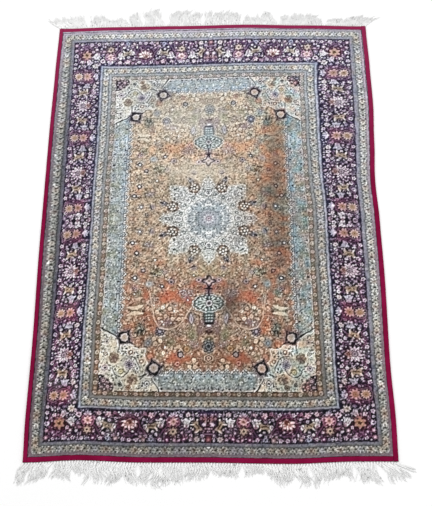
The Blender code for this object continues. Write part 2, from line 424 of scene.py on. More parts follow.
def tendrils(chart, ground, size, width, dye, seed, where=True):
    """Thin winding lines over the grounds named, which wind over about size mm."""
    noise = grain_of(chart, size, np.random.default_rng(seed))
    slope = np.hypot(*np.gradient(noise))
    on = np.isin(chart.dye, [DYE[name] for name in ground.split()]) & where
    chart.dye[on & (np.abs(noise) < slope * width / 2 / CELL)] = DYE[dye]


def free(chart, x, y, reach, grounds):
    """Whether nothing but those grounds lies within reach of (x, y)."""
    i, j, k = (y - chart.y[0]) / CELL, (x - chart.x[0]) / CELL, reach / CELL
    rows, columns = (slice(max(0, round(n - k)), max(0, round(n + k) + 1)) for n in (i, j))
    part = chart.dye[rows, columns]
    return part.size > 0 and bool(np.isin(part, grounds).all())


def pack(chart, box, ground, sizes, mix, seed, crowd=1.0, band=(0, 999)):
    """Packs what shows of the grounds inside (left, near, right, far) with small motifs, the largest first.

    crowd is how many places are tried, and band is how far in from the outer edge they may lie.
    """
    rng = np.random.default_rng(seed)
    dyes = [part.split() for part in mix.split("|")]
    grounds = [DYE[name] for name in ground.split()]
    area = (box[2] - box[0]) * (box[3] - box[1])
    for radius in sizes:
        for x, y in rng.uniform(box[:2], box[2:], (int(crowd * area / radius**2), 2)):
            depth = min(HALF_WIDTH - x, HALF_LENGTH - y)
            if band[0] <= depth < band[1] and free(chart, x, y, radius * 0.9 + 0.8, grounds):
                small(chart, x, y, radius, rng, dyes)


# ------------------------------------------------------------------ single motifs


def small(chart, x, y, radius, rng, dyes):
    """A leaf or a little flower that packs a ground, in dyes from a mix."""
    outline, petal, heart, leaf = (part[rng.integers(len(part))] for part in dyes[:4])
    w = chart.at(x, y, radius * 1.5, rng.uniform(0, 360))
    if rng.random() < float(dyes[4][0]):
        w.leaf(-radius * 1.25, 0, radius * 1.25, 0, radius * 1.2, leaf, rng.uniform(-0.35, 0.35) * radius)
        if radius > 5:
            w.disc(0, 0, radius * 0.25, petal)
    else:
        if radius > 4:
            w.star(0, 0, radius * 1.2, outline, 5, 0.34)
        w.star(0, 0, radius * 1.02 - 0.5, petal, 5, 0.4)
        w.disc(0, 0, radius * 0.34, heart)


def blossom(chart, x, y, radius, petal, heart, petals, turn, outline):
    """A small flower."""
    w = chart.at(x, y, radius * 1.5)
    w.star(0, 0, radius * 1.32, outline, petals, 0.3, turn)
    w.star(0, 0, radius * 1.16, petal, petals, 0.42, turn)
    w.disc(0, 0, radius * 0.42, heart)


def rosette(chart, x, y, radius, rings):
    """A round flower of several rings, (share of the radius, dye), every two turned by half a petal."""
    w = chart.at(x, y, radius * 1.05)
    for number, (share, dye) in enumerate(rings):
        w.flower(0, 0, radius * share, dye, 8, 0.24 if share > 0.3 else 0.0, 22.5 * (number // 2))


def bell(chart, x, y, size, turn, petal, shade):
    """A trumpet flower that opens to +v."""
    rim = [(-0.24, -0.5), (0.24, -0.5), (0.36, 0.0), (0.62, 0.42), (0.30, 0.34), (0.0, 0.56), (-0.30, 0.34)]
    rim += [(-0.62, 0.42), (-0.36, 0.0)]
    w = chart.at(x, y, 0.9, turn, size)
    w.shape([(u * 1.14, v * 1.16) for u, v in rim], "navy")
    w.shape(rim, petal)
    w.leaf(0, -0.42, 0, 0.3, 0.13, shade)
    w.leaf(-0.14, -0.3, -0.34, 0.3, 0.09, shade)
    w.leaf(0.14, -0.3, 0.34, 0.3, 0.09, shade)
    w.disc(0, -0.52, 0.17, "rose")


def lotus(chart, x, y, size, turn, petal, heart, outline="navy"):
    """A half flower that lies against a band's edge and opens to +v."""
    w = chart.at(x, y, 1.1, turn, size)
    for dye, grow in ((outline, 1.12), (petal, 1.0)):
        for angle in (-62, 62, -31, 31, 0):
            a = math.radians(90 - angle)
            w.leaf(0, -0.45, 0.95 * grow * math.cos(a), -0.45 + 0.95 * grow * math.sin(a), 0.34 * grow, dye)
    w.disc(0, -0.38, 0.2, heart)


def leaves(chart, x, y, length, turn, dye, width, spread):
    """A pair of leaves from one point."""
    w = chart.at(x, y, 1.1, turn, length)
    for side in (-spread, spread):
        a = math.radians(90 - side)
        w.leaf(0, 0, math.cos(a), math.sin(a), width, dye)


# ------------------------------------------------------------------ grounds and borders

# Where each band starts, its dye, and the fine line on its outer edge, if it has one: how wide, dye.
BANDS = (
    (0.0, "edging"),
    (CRIMSON, "crimson"),
    (LILAC_EDGE, "edging"),
    (OUTER_GUARD, "guard", 2.8, "slate"),
    (OUTER_STRIPE, "stripe", 2.8, "steel"),
    (MAIN_BORDER, "night", 2.8, "indigo"),
    (INNER_STRIPE, "inner", 4.2, "indigo"),
    (INNER_GUARD, "guard", 2.8, "steel"),
    (GREY_STRIPE, "greyish", 2.8, "steel"),
    (GOLD_GUARD, "straw", 2.8, "olive"),
    (DARK_LINE, "brown"),
    (PANEL, "panel", 2.0, "white"),
    (ZIGZAG, "panel"),
)
# How the small motifs that pack a ground are dyed: outlines | petals | hearts | leaves | share of leaves.
BORDER_MIX = "night navy indigo|blush blush lilac cream pink blush|red orange gold navy|mauve rose lilac|0.35"
PANEL_MIX = "slate steel silver|white ivory sky white|navy teal steel|sky slate sage white|0.6"
FIELD_MIX = (
    "brown pine olive taupe|cream sand sage mauve silver sand|rust pine navy|olive sage taupe pine|0.45"
)
IVORY_MIX = "sage taupe silver sage|white white cream moss|pine navy brown|pine olive navy steel|0.5"
LACE_MIX = "silver steel teal silver|white white white lilac|navy pine steel|steel teal pine silver|0.4"


def depths(chart):
    """For each cell: how far to the right it lies, how far along, and how far in from the outer edge."""
    across, along = np.meshgrid(chart.x, chart.y)
    return across, along, np.minimum(HALF_WIDTH - across, HALF_LENGTH - along)


def lay_grounds(chart):
    """The plain grounds and fine lines of the bands, and the field's ground."""
    _across, _along, depth = depths(chart)
    for start, dye, *line in BANDS:
        chart.dye[depth >= start] = DYE[dye]
        if line:
            chart.dye[(depth >= start) & (depth < start + line[0])] = DYE[line[1]]
    chart.dye[depth >= ZIGZAG + 4.0] = DYE["field"]


def runs(depth, pitch):
    """(x, y, turn, number, last) for each repeat along a band's two runs, from the middles to the corner."""
    for half, side in ((HALF_LENGTH - depth, True), (HALF_WIDTH - depth, False)):
        count = 2 * round(half / pitch / 2)
        for number in range(count + 1):
            s = half * number / count
            x, y, turn = (HALF_WIDTH - depth, s, -90.0) if side else (s, HALF_LENGTH - depth, 0.0)
            yield x, y, turn, number, number == count


def offset(x, y, turn, u, v):
    """The point (u, v) of the axes at (x, y), turned."""
    c, s = math.cos(math.radians(turn)), math.sin(math.radians(turn))
    return x + u * c - v * s, y + u * s + v * c


def flowers(chart, place, table, outline="plum"):
    """Small flowers, from rows of: across, along, radius, petal dye, heart dye."""
    for across, along, radius, petal, heart in rows_of(table):
        petals = 5 if radius < 9 else 7
        blossom(chart, *place(across, along), radius, petal, heart, petals, 9 * radius, outline)


def rosettes(chart, table):
    """Rosettes, from rows of: x, y, radius, and the dyes of its rings from the outside in."""
    for x, y, radius, *dyes in rows_of(table):
        rosette(chart, x, y, radius, [(1.0 - 0.86 * i / len(dyes), dye) for i, dye in enumerate(dyes)])


def draw_guard(chart, depth, width, pitch, seed):
    """An ivory guard on grey: rosettes in thin pale diamonds, with crossed leaves between them."""
    rng = np.random.default_rng(seed)
    inwards = depths(chart)[2]
    here = (inwards > depth + 2.8) & (inwards < depth + width)
    mottle(chart, "guard", 7.0, "lace 0.08/slate 0.16/sage 0.14", seed, here)
    for x, y, turn, number, _last in runs(depth + width / 2 + 1, pitch / 2):
        w = chart.at(x, y, 18, turn + rng.uniform(-6, 6))
        petal = ("ivory", "lace", "lilac", "sand", "lace")[rng.integers(5)]
        if number % 2:
            w.star(0, 0, 0.46 * width, petal, 4, 0.85, 0)
            w.star(0, 0, 0.36 * width, petal, 4, 0.84, 45)
            w.disc(0, 0, 2.4, ("wine", "pine", "brown")[rng.integers(3)])
            for v in (-0.34 * width, 0.34 * width):
                w.disc(5.0, v, 2.8, ("pine", "steel", "brown")[rng.integers(3)])
        else:
            w.star(0, 0, 0.46 * width, petal, 4, 0.34, 0)
            w.star(0, 0, 0.38 * width, "sage", 4, 0.34, 0)
            ring, heart = ("gold", "red") if number % 8 == 4 else ("lace", "pine")
            w.star(0, 1, 0.25 * width, ring, 6, 0.5, 90)
            w.disc(0, 0, 4.0, heart)
    mottle(chart, "guard ivory lace slate sage", 4.6, "slate 0.06/white 0.05/steel 0.06", seed + 1, here)


def draw_gold_guard(chart):
    """The narrow guard against the panel: pale rosettes, with rust and olive fans between them."""
    middle = (GOLD_GUARD + DARK_LINE + 2) / 2
    for x, y, turn, number, _last in runs(middle, 19.5):
        w = chart.at(x, y, 12, turn)
        if number % 2:
            w.star(0, 0, 7.2, ("rust", "olive", "orange", "brown")[number // 2 % 4], 6, 0.4)
            w.disc(0, 0, 2.2, "sand")
        else:
            w.flower(0, 0, 7.6, ("cream", "blush", "cream")[number // 2 % 3], 6, 0.2)
            w.disc(0, 0, 4.4, ("brown", "rust", "wine")[number // 2 % 3])
            w.disc(0, 0, 1.9, "cream")
        for v in (-5.5, 5.5):
            w.disc(9.6, v, 2.6, "olive" if number % 2 else "brown")


def draw_zigzag(chart):
    """White arches with dark ones inside, which point into the field."""
    half = [(19, 2), (16, -5), (10, -10), (4.5, -13.5)]
    arch = [*((-u, v) for u, v in half), (0, -19.5), *reversed(half)]
    for x, y, turn, _number, last in runs(ZIGZAG + 2, 36.0):
        if not last:
            w = chart.at(x, y, 26, turn)
            for size, lift, dye in rows_of("1.1 -0.5 brown/1 0 white/0.74 0 pine/0.56 0.5 sky/0.3 1 slate"):
                w.shape([(u * size, v * size + lift) for u, v in arch], dye)
            w.discs("-9.5 -6.4 2.2 navy/9.5 -6.4 2.2 navy/0 -13 1.9 pine")
            w.paint((w.v > 1.4) & (w.v < 3.4), "steel")


# A deer's outline, from its rump over its back and head.
DEER = (
    "-0.9 0.3/-0.75 0.55/-0.1 0.42/0.35 0.6/0.75 0.95/0.98 0.8/0.8 0.55/0.7 0/0.95 -0.45/0.8 -0.55/"
    "0.42 -0.15/-0.2 -0.12/-0.5 -0.75/-0.72 -0.7/-0.6 -0.05"
)


def draw_deer(chart, x, y, turn, flip):
    """A small gold deer with cream legs under a flowering twig."""
    w = chart.at(x, y, 1.3, turn, 26, flip)
    body = [*rows_of(DEER)]
    w.shape([(u * 1.1, v * 1.16) for u, v in body], "night")
    w.shape(body, "gold")
    w.leaf(-0.6, 0.12, 0.6, 0.2, 0.26, "brown", 0.1)
    w.leaf(-0.62, 0.1, -0.6, -0.74, 0.26, "cream")
    w.leaf(0.5, 0.1, 0.88, -0.56, 0.24, "cream")
    w.disc(0.8, 0.78, 0.15, "cream")


def star_flower(chart, x, y, radius, petal, ring, core, petals, rim, ground="plum"):
    """A flower with pointed petals on a dark round ground."""
    w = chart.at(x, y, radius * 1.3)
    w.disc(0, 0, radius * 1.26, rim)
    w.disc(0, 0, radius * 1.12, ground)
    w.star(0, 0, radius * 1.02, petal, petals, 0.42, 90)
    w.star(0, 0, radius * 0.60, ring, petals, 0.36, 90 + 180 / petals)
    w.flower(0, 0, radius * 0.36, core, 5, 0.3)
    w.disc(0, 0, radius * 0.12, "brown")


def palmette(chart, x, y, size, turn):
    """A wide palmette on a plum round: white wings with pink veins, red tips, a brown heart at its top."""
    w = chart.at(x, y, 1.5, turn, size)
    w.rings(0, -0.05, "1.18 magenta/1.1 night", 10, 0.12)
    w.rings(0, -0.02, "0.98 plum", 12, 0.16)
    for dye, grow in (("red", 1.1), ("white", 0.92)):
        for angle, length, width in rows_of("180 0.8 0.3/145 0.9 0.34/112 0.98 0.4/80 0.9 0.34"):
            a, reach = math.radians(angle), length * grow
            for side in (-1, 1):
                w.leaf(0, 0.3, side * reach * math.sin(a), 0.3 + reach * math.cos(a), width * grow, dye)
    for angle, reach in rows_of("160 0.6/125 0.7/92 0.62"):
        a = math.radians(angle)
        for side in (-1, 1):
            w.leaf(side * 0.06, 0.2, side * reach * math.sin(a), 0.25 + reach * math.cos(a), 0.1, "rose")
    w.rings(0, 0.42, "0.36 orange/0.27 brown", 6, 0.2, 30)
    w.disc(0, 0.42, 0.12, "red")


SIDE_FLOWERS = (
    "105 57 10 ivory gold/106 80 8 white navy/105 98 8 blush magenta/16 88 9 lilac plum/"
    "25 117 8 blush plum/108 122 8 blush navy/12 52 8 blush magenta/88 34 7 rose magenta/"
    "34 57 7 mauve blush/13 142 8 blush wine/106 150 9 blush navy/40 130 6 blush magenta/"
    "92 112 6 white navy/38 68 6 white plum/16 26 7 rose plum"
)
SIDE_MIDDLE_FLOWERS = (
    "106 16 8 ivory navy/108 33 8 ivory gold/14 18 9 mauve blush/26 4 7 blush magenta/16 40 6 blush plum"
)
END_FLOWERS = (
    "15 82 10 sky indigo/14 24 9 magenta blush/14 52 7 blush magenta/112 46 9 blush orange/"
    "116 108 7 rose magenta/28 104 7 lilac magenta/14 112 7 orange ivory/12 140 8 lilac rose/"
    "112 138 8 blush navy/94 112 6 blush navy/40 26 6 rose white/34 64 5.5 white rose/"
    "36 140 6 mauve blush/28 84 4.5 white plum/92 24 6 blush plum"
)
END_MIDDLE_FLOWERS = (
    "14 0 11 red orange/15 44 11 sand silver/16 92 9 magenta blush/28 22 6 lilac plum/"
    "112 76 9 blush gold/30 66 6 blush magenta/40 100 6 rose white/110 104 7 lilac plum/"
    "14 68 6 blush red/96 64 6 white navy/96 12 6 orange red/96 26 5 orange red/72 15 8 lilac white/"
    "112 13 5 blush plum/112 26 5 mauve blush"
)
CORNER_FLOWERS = (
    "105 131 13 ivory gold/137 106 12 blush magenta/14 75 10 lilac plum/82 17 10 lilac rose/"
    "12 120 8 blush magenta/12 18 9 rose blush/116 15 8 blush magenta/40 14 7 blush plum/"
    "14 46 8 rose blush/40 110 8 blush rose/106 44 8 rose white/122 122 7 blush rose/36 40 7 mauve blush/"
    "92 56 6 white navy/54 132 7 lilac magenta"
)


def stretch(place, start, stop, length):
    """The places of one run's repeat, which is length long as drawn and may run backwards."""
    step = (stop - start) / length
    return lambda t, s: place(t, start + s * step)


def draw_side_runs(chart, side, vine):
    """Star flowers and palmettes in turn up the side, with vines, bells, deer and flowers between them."""
    for start, stop in ((62.0, 232.0), (412.0, 232.0), (412.0, 584.0), (742.0, 584.0)):
        here = stretch(side, start, stop, 174.0)
        facing = 1 if stop > start else -1
        vine(here, [(98, 24), (108, 60), (84, 96), (100, 130), (67, 174)])
        vine(here, [(32, 16), (12, 60), (30, 84), (14, 116), (34, 150), (30, 174)])
        bell(chart, *here(70, 54), 30, -90 + 90 * facing, "lilac", "silver")
        draw_deer(chart, *here(58, 91), 0 if facing > 0 else 180, facing)
        flowers(chart, here, SIDE_FLOWERS)
        w = chart.at(*here(62, 121), 22)
        for u, v in ((0, -11), (0, 11), (-7, 0)):
            w.star(u, v, 8.2, "night", 4, 0.3, 30)
            w.star(u, v, 7.0, "blush", 4, 0.4, 30)
            w.disc(u, v, 1.8, "red")
    for s in (62.0, 412.0, 742.0):
        w = chart.at(*side(52, s), 60)
        w.disc(0, 0, 48, "magenta", 0.86)
        w.disc(0, 0, 45.6, "plum", 0.86)
        star_flower(chart, *side(69, s), 23, "pink", "orange", "gold", 9, "magenta")
        star_flower(chart, *side(31, s), 21, "sand", "orange", "gold", 11, "mauve")
        lotus(chart, *side(112, s), 24, 90, "lilac", "white")
    for s in (232.0, 584.0):
        x, y = side(62, s)
        w = chart.at(x, y, 54)
        w.rings(0, 0, "48 mauve/46 night/40 plum", 12, 0.1)
        for turn in range(15, 360, 30):
            chart.at(x, y, 46, turn).star(40, 0, 4.2, "blush", 4, 0.4)
        for turn in range(0, 360, 30):
            petal = chart.at(x + 3, y, 46, turn)
            petal.leaf(6, 0, 34, 0, 10, ("white", "blush")[turn % 60 // 30])
            petal.leaf(10, 0, 27, 0, 3.0, "mauve")
        w.rings(3, 0, "13 plum/10 silver", 8, 0.2)
        w.disc(3, 0, 4, "mauve")
        for left, right, half, dye in rows_of("-34 -8 15 orange/-31 -11 11 brown/-26 -14 6 rust"):
            w.shape([(left, 0), (-20, half), (right, 0), (-20, -half)], dye)
    bell(chart, *side(72, 20), 32, 0, "white", "silver")
    bell(chart, *side(44, 19), 24, 0, "blush", "mauve")
    flowers(chart, side, SIDE_MIDDLE_FLOWERS)


def draw_end_runs(chart, end, vine):
    """The same across the end, with a framed block between two deer at its middle."""
    for start, stop in ((132.0, 298.0), (457.0, 298.0)):
        here = stretch(end, start, stop, 166.0)
        vine(here, [(83, 0), (60, 30), (20, 60), (24, 100), (60, 122), (70, 166)])
        vine(here, [(110, 30), (96, 64), (110, 100), (112, 166)])
        bell(chart, *here(80, 48), 34, 180, "white", "silver")
        draw_deer(chart, *here(61, 82), 180, 1 if stop > start else -1)
        chart.stroke([here(37, 64), here(37, 104)], 2.0, "rose")
        w = chart.at(*here(64, 106), 16)
        for radius, dye in ((9, "night"), (7.6, "white"), (2.4, "steel")):
            w.disc(0, 0, radius, dye, 1.3)
        w = chart.at(*here(110, 83), 18)
        w.star(0, 0, 15, "wine", 5, 0.36, 90)
        w.star(0, 0, 13, "blush", 5, 0.42, 90)
        w.disc(0, 0, 3.2, "orange")
        flowers(chart, here, END_FLOWERS)
    for s in (132.0, 457.0):
        star_flower(chart, *end(84, s), 20, "blush", "cream", "orange", 8, "rose", "magenta")
        star_flower(chart, *end(46, s), 17, "gold", "cream", "brown", 6, "brown")
        lotus(chart, *end(113, s), 22, 180, "lilac", "rose")
    palmette(chart, *end(68, 298), 36, 180)
    w = chart.at(*end(78, 0), 60)
    for half_u, half_v, dye in ((32, 47, "plum"), (29, 44, "indigo"), (24, 39, "plum")):
        w.paint((np.abs(w.u) < half_u) & (np.abs(w.v) < half_v), dye)
    w.discs("11 22 4 rose/11 -4 5 gold/11 -30 5 mauve", (-1, 1))
    for v, dye in ((8, "magenta"), (-18, "magenta"), (44, "rose")):
        w.paint((np.abs(w.u) < 26) & (np.abs(w.v - v) < 1.5), dye)
    draw_deer(chart, *end(62, 46), 128, -1)
    bell(chart, *end(80, 84), 34, 180, "white", "silver")
    flowers(chart, end, END_MIDDLE_FLOWERS)


def draw_corner(chart, corner, vine):
    """A branching flower between bells, on the border's diagonal."""
    vine(corner, [(20, 20), (60, 26), (92, 50), (110, 92), (136, 108)])
    vine(corner, [(26, 118), (22, 70), (40, 40), (80, 22), (126, 24)])
    star_flower(chart, *corner(62, 74), 24, "orange", "gold", "brown", 6, "wine")
    bell(chart, *corner(108, 80), 34, 205, "white", "silver")
    bell(chart, *corner(76, 112), 27, 150, "blush", "silver")
    flowers(chart, corner, CORNER_FLOWERS)


def draw_main_border(chart):
    """Palmettes, star flowers, deer and bells on magenta vines, packed with small flowers."""
    outer_x, outer_y = HALF_WIDTH - MAIN_BORDER, HALF_LENGTH - MAIN_BORDER

    def vine(place, points):
        chart.stroke(spline([place(t, s) for t, s in points]), 2.8, "magenta")

    draw_side_runs(chart, lambda t, s: (outer_x - t, s), vine)
    draw_end_runs(chart, lambda t, s: (s, outer_y - t), vine)
    draw_corner(chart, lambda a, b: (outer_x - a, outer_y - b), vine)
    side_box = (HALF_WIDTH - INNER_STRIPE, 0, outer_x, outer_y)
    end_box = (0, HALF_LENGTH - INNER_STRIPE, outer_x, outer_y)
    for box in (side_box, end_box):
        pack(chart, box, "night", (9.0, 7.6, 6.2), BORDER_MIX, 11)
        pack(chart, box, "night", (4.8, 3.6), BORDER_MIX, 18, crowd=0.4)
        pack(chart, box, "plum", (5.0, 3.8), BORDER_MIX, 12, crowd=0.6)
    inwards = depths(chart)[2]
    here = (inwards > MAIN_BORDER + 2.8) & (inwards < INNER_STRIPE)
    tendrils(chart, "night plum", 26.0, 1.6, "magenta", 13, here)
    tendrils(chart, "night plum", 36.0, 1.6, "pink", 14, here)
    mottle(chart, "night", 26.0, "navy 0.4", 17, here)
    mottle(chart, "night plum navy", 5.0, "mauve 0.04/lilac 0.03/magenta 0.03", 15, here)
    mottle(chart, "blush lilac white", 4.5, "mauve 0.1/plum 0.07/white 0.15", 16, here)


def draw_panel(chart):
    """The light blue panel: hazy patches, arches of vine, navy buds, all packed with pale flowers."""
    inwards = depths(chart)[2]
    here = (inwards > PANEL + 2) & (inwards < ZIGZAG)
    mottle(chart, "panel", 40.0, "sky 0.32/moss 0.16", 21, here)
    mottle(chart, "panel sky moss", 11.0, "silver 0.14/slate 0.12/lace 0.13/sage 0.08", 22, here)
    rng = np.random.default_rng(25)
    middle = (PANEL + ZIGZAG) / 2
    for x, y, turn, number, _last in runs(middle, 46.0):
        up = 1 if number % 2 else -1
        arch = spline([(-24, -12 * up), (-12, 5 * up), (0, 11 * up), (12, 5 * up), (24, -12 * up)])
        chart.stroke([offset(x, y, turn, u, v - 3) for u, v in arch], 2.4, "moss")
        w = chart.at(x, y, 40, turn)
        w.star(0, -9 * up, 8.4, "slate", 6, 0.3)
        w.star(0, -9 * up, 7.4, "lace", 6, 0.3)
        w.disc(0, -9 * up, 2.2, "steel")
        for u, v, r, dye in rows_of("-15 21 4.6 navy/9 22 3.8 steel/-6 -22 3.6 teal/15 -20 4.2 navy"):
            astray = rng.uniform(-6, 6, 2)
            w.flower(u + astray[0], v + astray[1], r * rng.uniform(0.5, 1.1), dye, 5, 0.25)
    tendrils(chart, "panel sky moss silver lilac lace", 24.0, 1.5, "slate", 26, here)
    tendrils(chart, "panel sky moss silver", 22.0, 1.5, "lace", 27, here)
    mottle(chart, "panel sky moss silver lace slate", 5.0, "steel 0.05/teal 0.04/white 0.05", 28, here)
    mottle(chart, "panel sky moss silver lace slate", 7.5, "navy 0.022", 29, here)
    long_box = (HALF_WIDTH - ZIGZAG, 0, HALF_WIDTH - PANEL, HALF_LENGTH)
    wide_box = (0, HALF_LENGTH - ZIGZAG, HALF_WIDTH, HALF_LENGTH - PANEL)
    for box in (long_box, wide_box):
        pack(chart, box, "panel sky moss silver lilac lace", (4.6, 3.2), PANEL_MIX, 24, 0.6, (PANEL, ZIGZAG))


# ------------------------------------------------------------------ field, medallion and corners


def draw_tree(chart, x, y, width, height, dyes, dots, rng):
    """A tree's crown of round leaves."""
    for _ in range(int(width * height / 30)):
        u, v = rng.uniform(-0.5, 0.5), rng.uniform(-0.5, 0.5)
        if np.hypot(u, v) < 0.5:
            w = chart.at(x + u * width, y + v * height, 8)
            w.flower(0, 0, rng.uniform(3.6, 5.4), dyes[rng.integers(len(dyes))], 5, 0.2, rng.uniform(0, 72))
            w.disc(0, 0, 1.6, dots[rng.integers(len(dots))])


FRUIT = (  # x, y, radius
    "118 448 9/143 447 10/172 436 10/183 401 10/154 406 10/132 416 9/205 420 9/196 446 8/214 526 10/"
    "208 546 10/188 534 10/168 560 7/154 568 7/142 558 7/130 572 7/176 580 8/160 592 7/56 608 10/"
    "74 632 9/52 634 9/262 402 6/122 236 6/300 116 6"
)
FIELD_ROSETTES = (
    "192 497 20 navy slate plum steel silver/236 541 17 slate silver steel silver/"
    "109 586 14 pine navy silver slate/226 594 15 rust orange pink orange/"
    "243 300 15 silver sky haze slate/152 290 16 brown mauve silver navy/42 283 13 mauve blush plum/"
    "300 272 12 navy pine white/190 310 10 navy brown white/268 240 11 navy steel silver/"
    "296 160 12 navy pine cream/220 190 11 brown olive white/286 60 15 brown silver navy white/"
    "316 112 11 navy steel white/60 262 9 brown olive ivory/84 564 16 olive gold rust/"
    "258 20 10 pine silver navy/300 320 9 wine blush navy/0 556 26 pine slate navy slate pine/"
    "0 526 10 olive brown sand/318 222 9 rust cream navy/120 620 12 brown pink red/"
    "180 250 9 navy blush rust/320 360 9 brown cream rust/30 320 7 plum blush navy/"
    "84 372 8 wine mauve cream"
)
# Where the field's ground shows between the plants: x, y, half width, half height.
OPEN_GROUND = (
    "158 350 54 28/88 376 34 10/22 318 18 14/165 300 24 18/10 312 12 10/215 458 22 20/214 492 15 14/"
    "118 604 46 14/135 585 20 12/66 536 28 9/246 430 16 10/290 470 16 12/60 300 14 12/250 350 16 12/"
    "200 200 26 12/300 140 18 30/270 250 16 14/250 20 14 22"
)
# How the plants cover the rest: dye, share of what is left of the ground.
FOLIAGE = "brown 0.10/sand 0.2/sage 0.2/olive 0.10/taupe 0.2/silver 0.12/slate 0.1/cream 0.06/rust 0.1"
TREES = (  # x, y, width, height, three dyes of the leaves, two of their hearts
    "270 488 40 62 pine olive sage ivory navy/92 340 60 46 mauve taupe brown blush white/"
    "292 410 44 22 olive sage pine brown silver/60 542 50 40 taupe mauve sage cream white/"
    "148 540 40 30 olive moss sage blush rust/286 340 44 34 olive sage brown cream white/"
    "214 246 50 36 olive moss pine white rust/250 120 44 40 sage olive mauve white navy/"
    "300 206 34 44 brown sage olive cream navy/20 600 60 26 brown rust taupe cream pink/"
    "168 464 70 24 mauve brown taupe blush silver/24 480 46 60 taupe mauve olive rust cream/"
    "64 512 34 50 moss olive sage cream gold/226 368 24 60 mauve taupe sage white cream/"
    "250 452 34 44 brown rust taupe cream blush/120 500 70 30 taupe sage brown cream blush/"
    "190 640 60 22 rust brown olive cream pink"
)


def draw_field(chart):
    """What stands out in each quarter of the field."""
    rng = np.random.default_rng(8)
    for x, y, wide, tall in rows_of(OPEN_GROUND):
        w = chart.at(x, y, wide * 1.2)
        ragged = 1 + 0.5 * soft_noise(w.u.shape, (6, 8), rng)
        w.paint((np.hypot(w.u / wide, w.v / tall) < ragged) & (w.cells == DYE["field"]), "clay")
    mottle(chart, "field", 7.5, FOLIAGE, 51)
    mottle(chart, "clay", 8.0, "brown 0.07/gold 0.05/rust 0.14/olive 0.06/red 0.05", 52)
    tendrils(chart, "field sage taupe olive", 26.0, 1.5, "brown", 53)
    tendrils(chart, "field sage taupe clay", 34.0, 1.5, "sand", 54)
    for x, y, width, height, *dyes in rows_of(TREES):
        draw_tree(chart, x, y, width, height, dyes[:3], dyes[3:], rng)
    for x, y, radius in rows_of(FRUIT):
        w = chart.at(x, y, 14)
        w.disc(0, 0, radius + 1.2, "brown")
        w.disc(0, 0, radius - 1.0, ("ivory", "sand", "cream")[int(x) % 3])
        w.disc(-1, 1, 1.6, "rust")
    w = chart.at(70, 447, 30, 4)
    for width, tall, dye in ((21, 27, "steel"), (15, 22, "lilac"), (5, 12, "mauve")):
        w.leaf(0, -tall, 0, tall, width, dye)
    rosettes(chart, FIELD_ROSETTES)
    for y, bend in ((394, 9), (430, -7)):  # cream branches bent over an olive shrub, near the field's edge
        w = chart.at(292, y, 44, 8)
        w.leaf(-36, 0, 36, 0, 22, "taupe", bend)
        w.leaf(-33, 0, 33, 0, 15, "cream", bend)
    # The axis beyond the pendant: a vase with a fan over it, and further on a shield.
    w = chart.at(0, 448, 60)
    w.shape([(-24, -30), (24, -30), (19, 22), (-19, 22)], "night")
    w.shape([(-21, -28), (21, -28), (17, 13), (-17, 13)], "teal")
    for v in (-20, -8, 4):
        w.paint((np.abs(w.v - v) < 1.6) & (np.abs(w.u) < 18), "pine")
        for u in (-10, 0, 10):
            w.disc(u, v + 5.5, 2.8, "lace")
    w.disc(0, 26, 7, "white", 0.6)
    w.disc(0, 35, 6, "mauve")
    lotus(chart, 0, 500, 18, 0, "olive", "wine", "brown")
    leaves(chart, 0, 506, 17, 180, "plum", 0.5, 50)
    leaves(chart, 0, 522, 17, 0, "olive", 0.4, 65)
    chart.at(0, 600, 40).rings(0, 0, "24 olive/20 sand/16 brown/9 sand/4 wine", 6, 0.2, 30, 0.8)


# The pale line that hangs from the pendant round a heap of fruit.
LOOP = (
    "62 392/84 424/100 450/122 474/160 488/192 480/212 452/220 424/228 380/236 340"
)


def pack_field(chart):
    """Small flowers over the rest of the field."""
    box = (0, 0, HALF_WIDTH - FIELD + 4, HALF_LENGTH - FIELD + 4)
    pack(chart, box, "field sage taupe olive sand", (6.4, 5.0, 3.8), FIELD_MIX, 5, crowd=0.35)
    pack(chart, box, "clay", (5.0, 3.4), FIELD_MIX, 6, crowd=0.12)


def draw_pendant(chart):
    """The oval pendant and the small diamond that joins it to the medallion."""
    w = chart.at(0, 384, 80)
    w.rings(0, 0, "71 brown/69 white/64.5 pine/61 teal", 12, 0.1, 15, 0.55)
    for turn in range(0, 360, 30):
        a = math.radians(turn)
        width = 6.4 if turn % 180 in (30, 60, 120, 150) else 3.6
        w.leaf(13 * math.cos(a), 8 * math.sin(a), 56 * math.cos(a), 30 * math.sin(a), width, "lace")
        w.disc(50 * math.cos(a + 0.26), 26 * math.sin(a + 0.26), 3.4, "white")
        w.disc(34 * math.cos(a + 0.26), 18 * math.sin(a + 0.26), 3.6, "pine")
    w.rings(0, 0, "17 pine/13.5 lace/9 mauve/4 plum", 8, 0.2)
    chart.stroke([(0, 304), (0, 350)], 6, "indigo")
    w = chart.at(0, 288, 44)
    for radius, dye in ((31, "navy"), (22, "mauve"), (15, "sand"), (7, "taupe")):
        w.star(0, 0, radius, dye, 4, 0.5, 90)
    w.shape([(-21, 37), (21, 37), (0, 24)], "night")


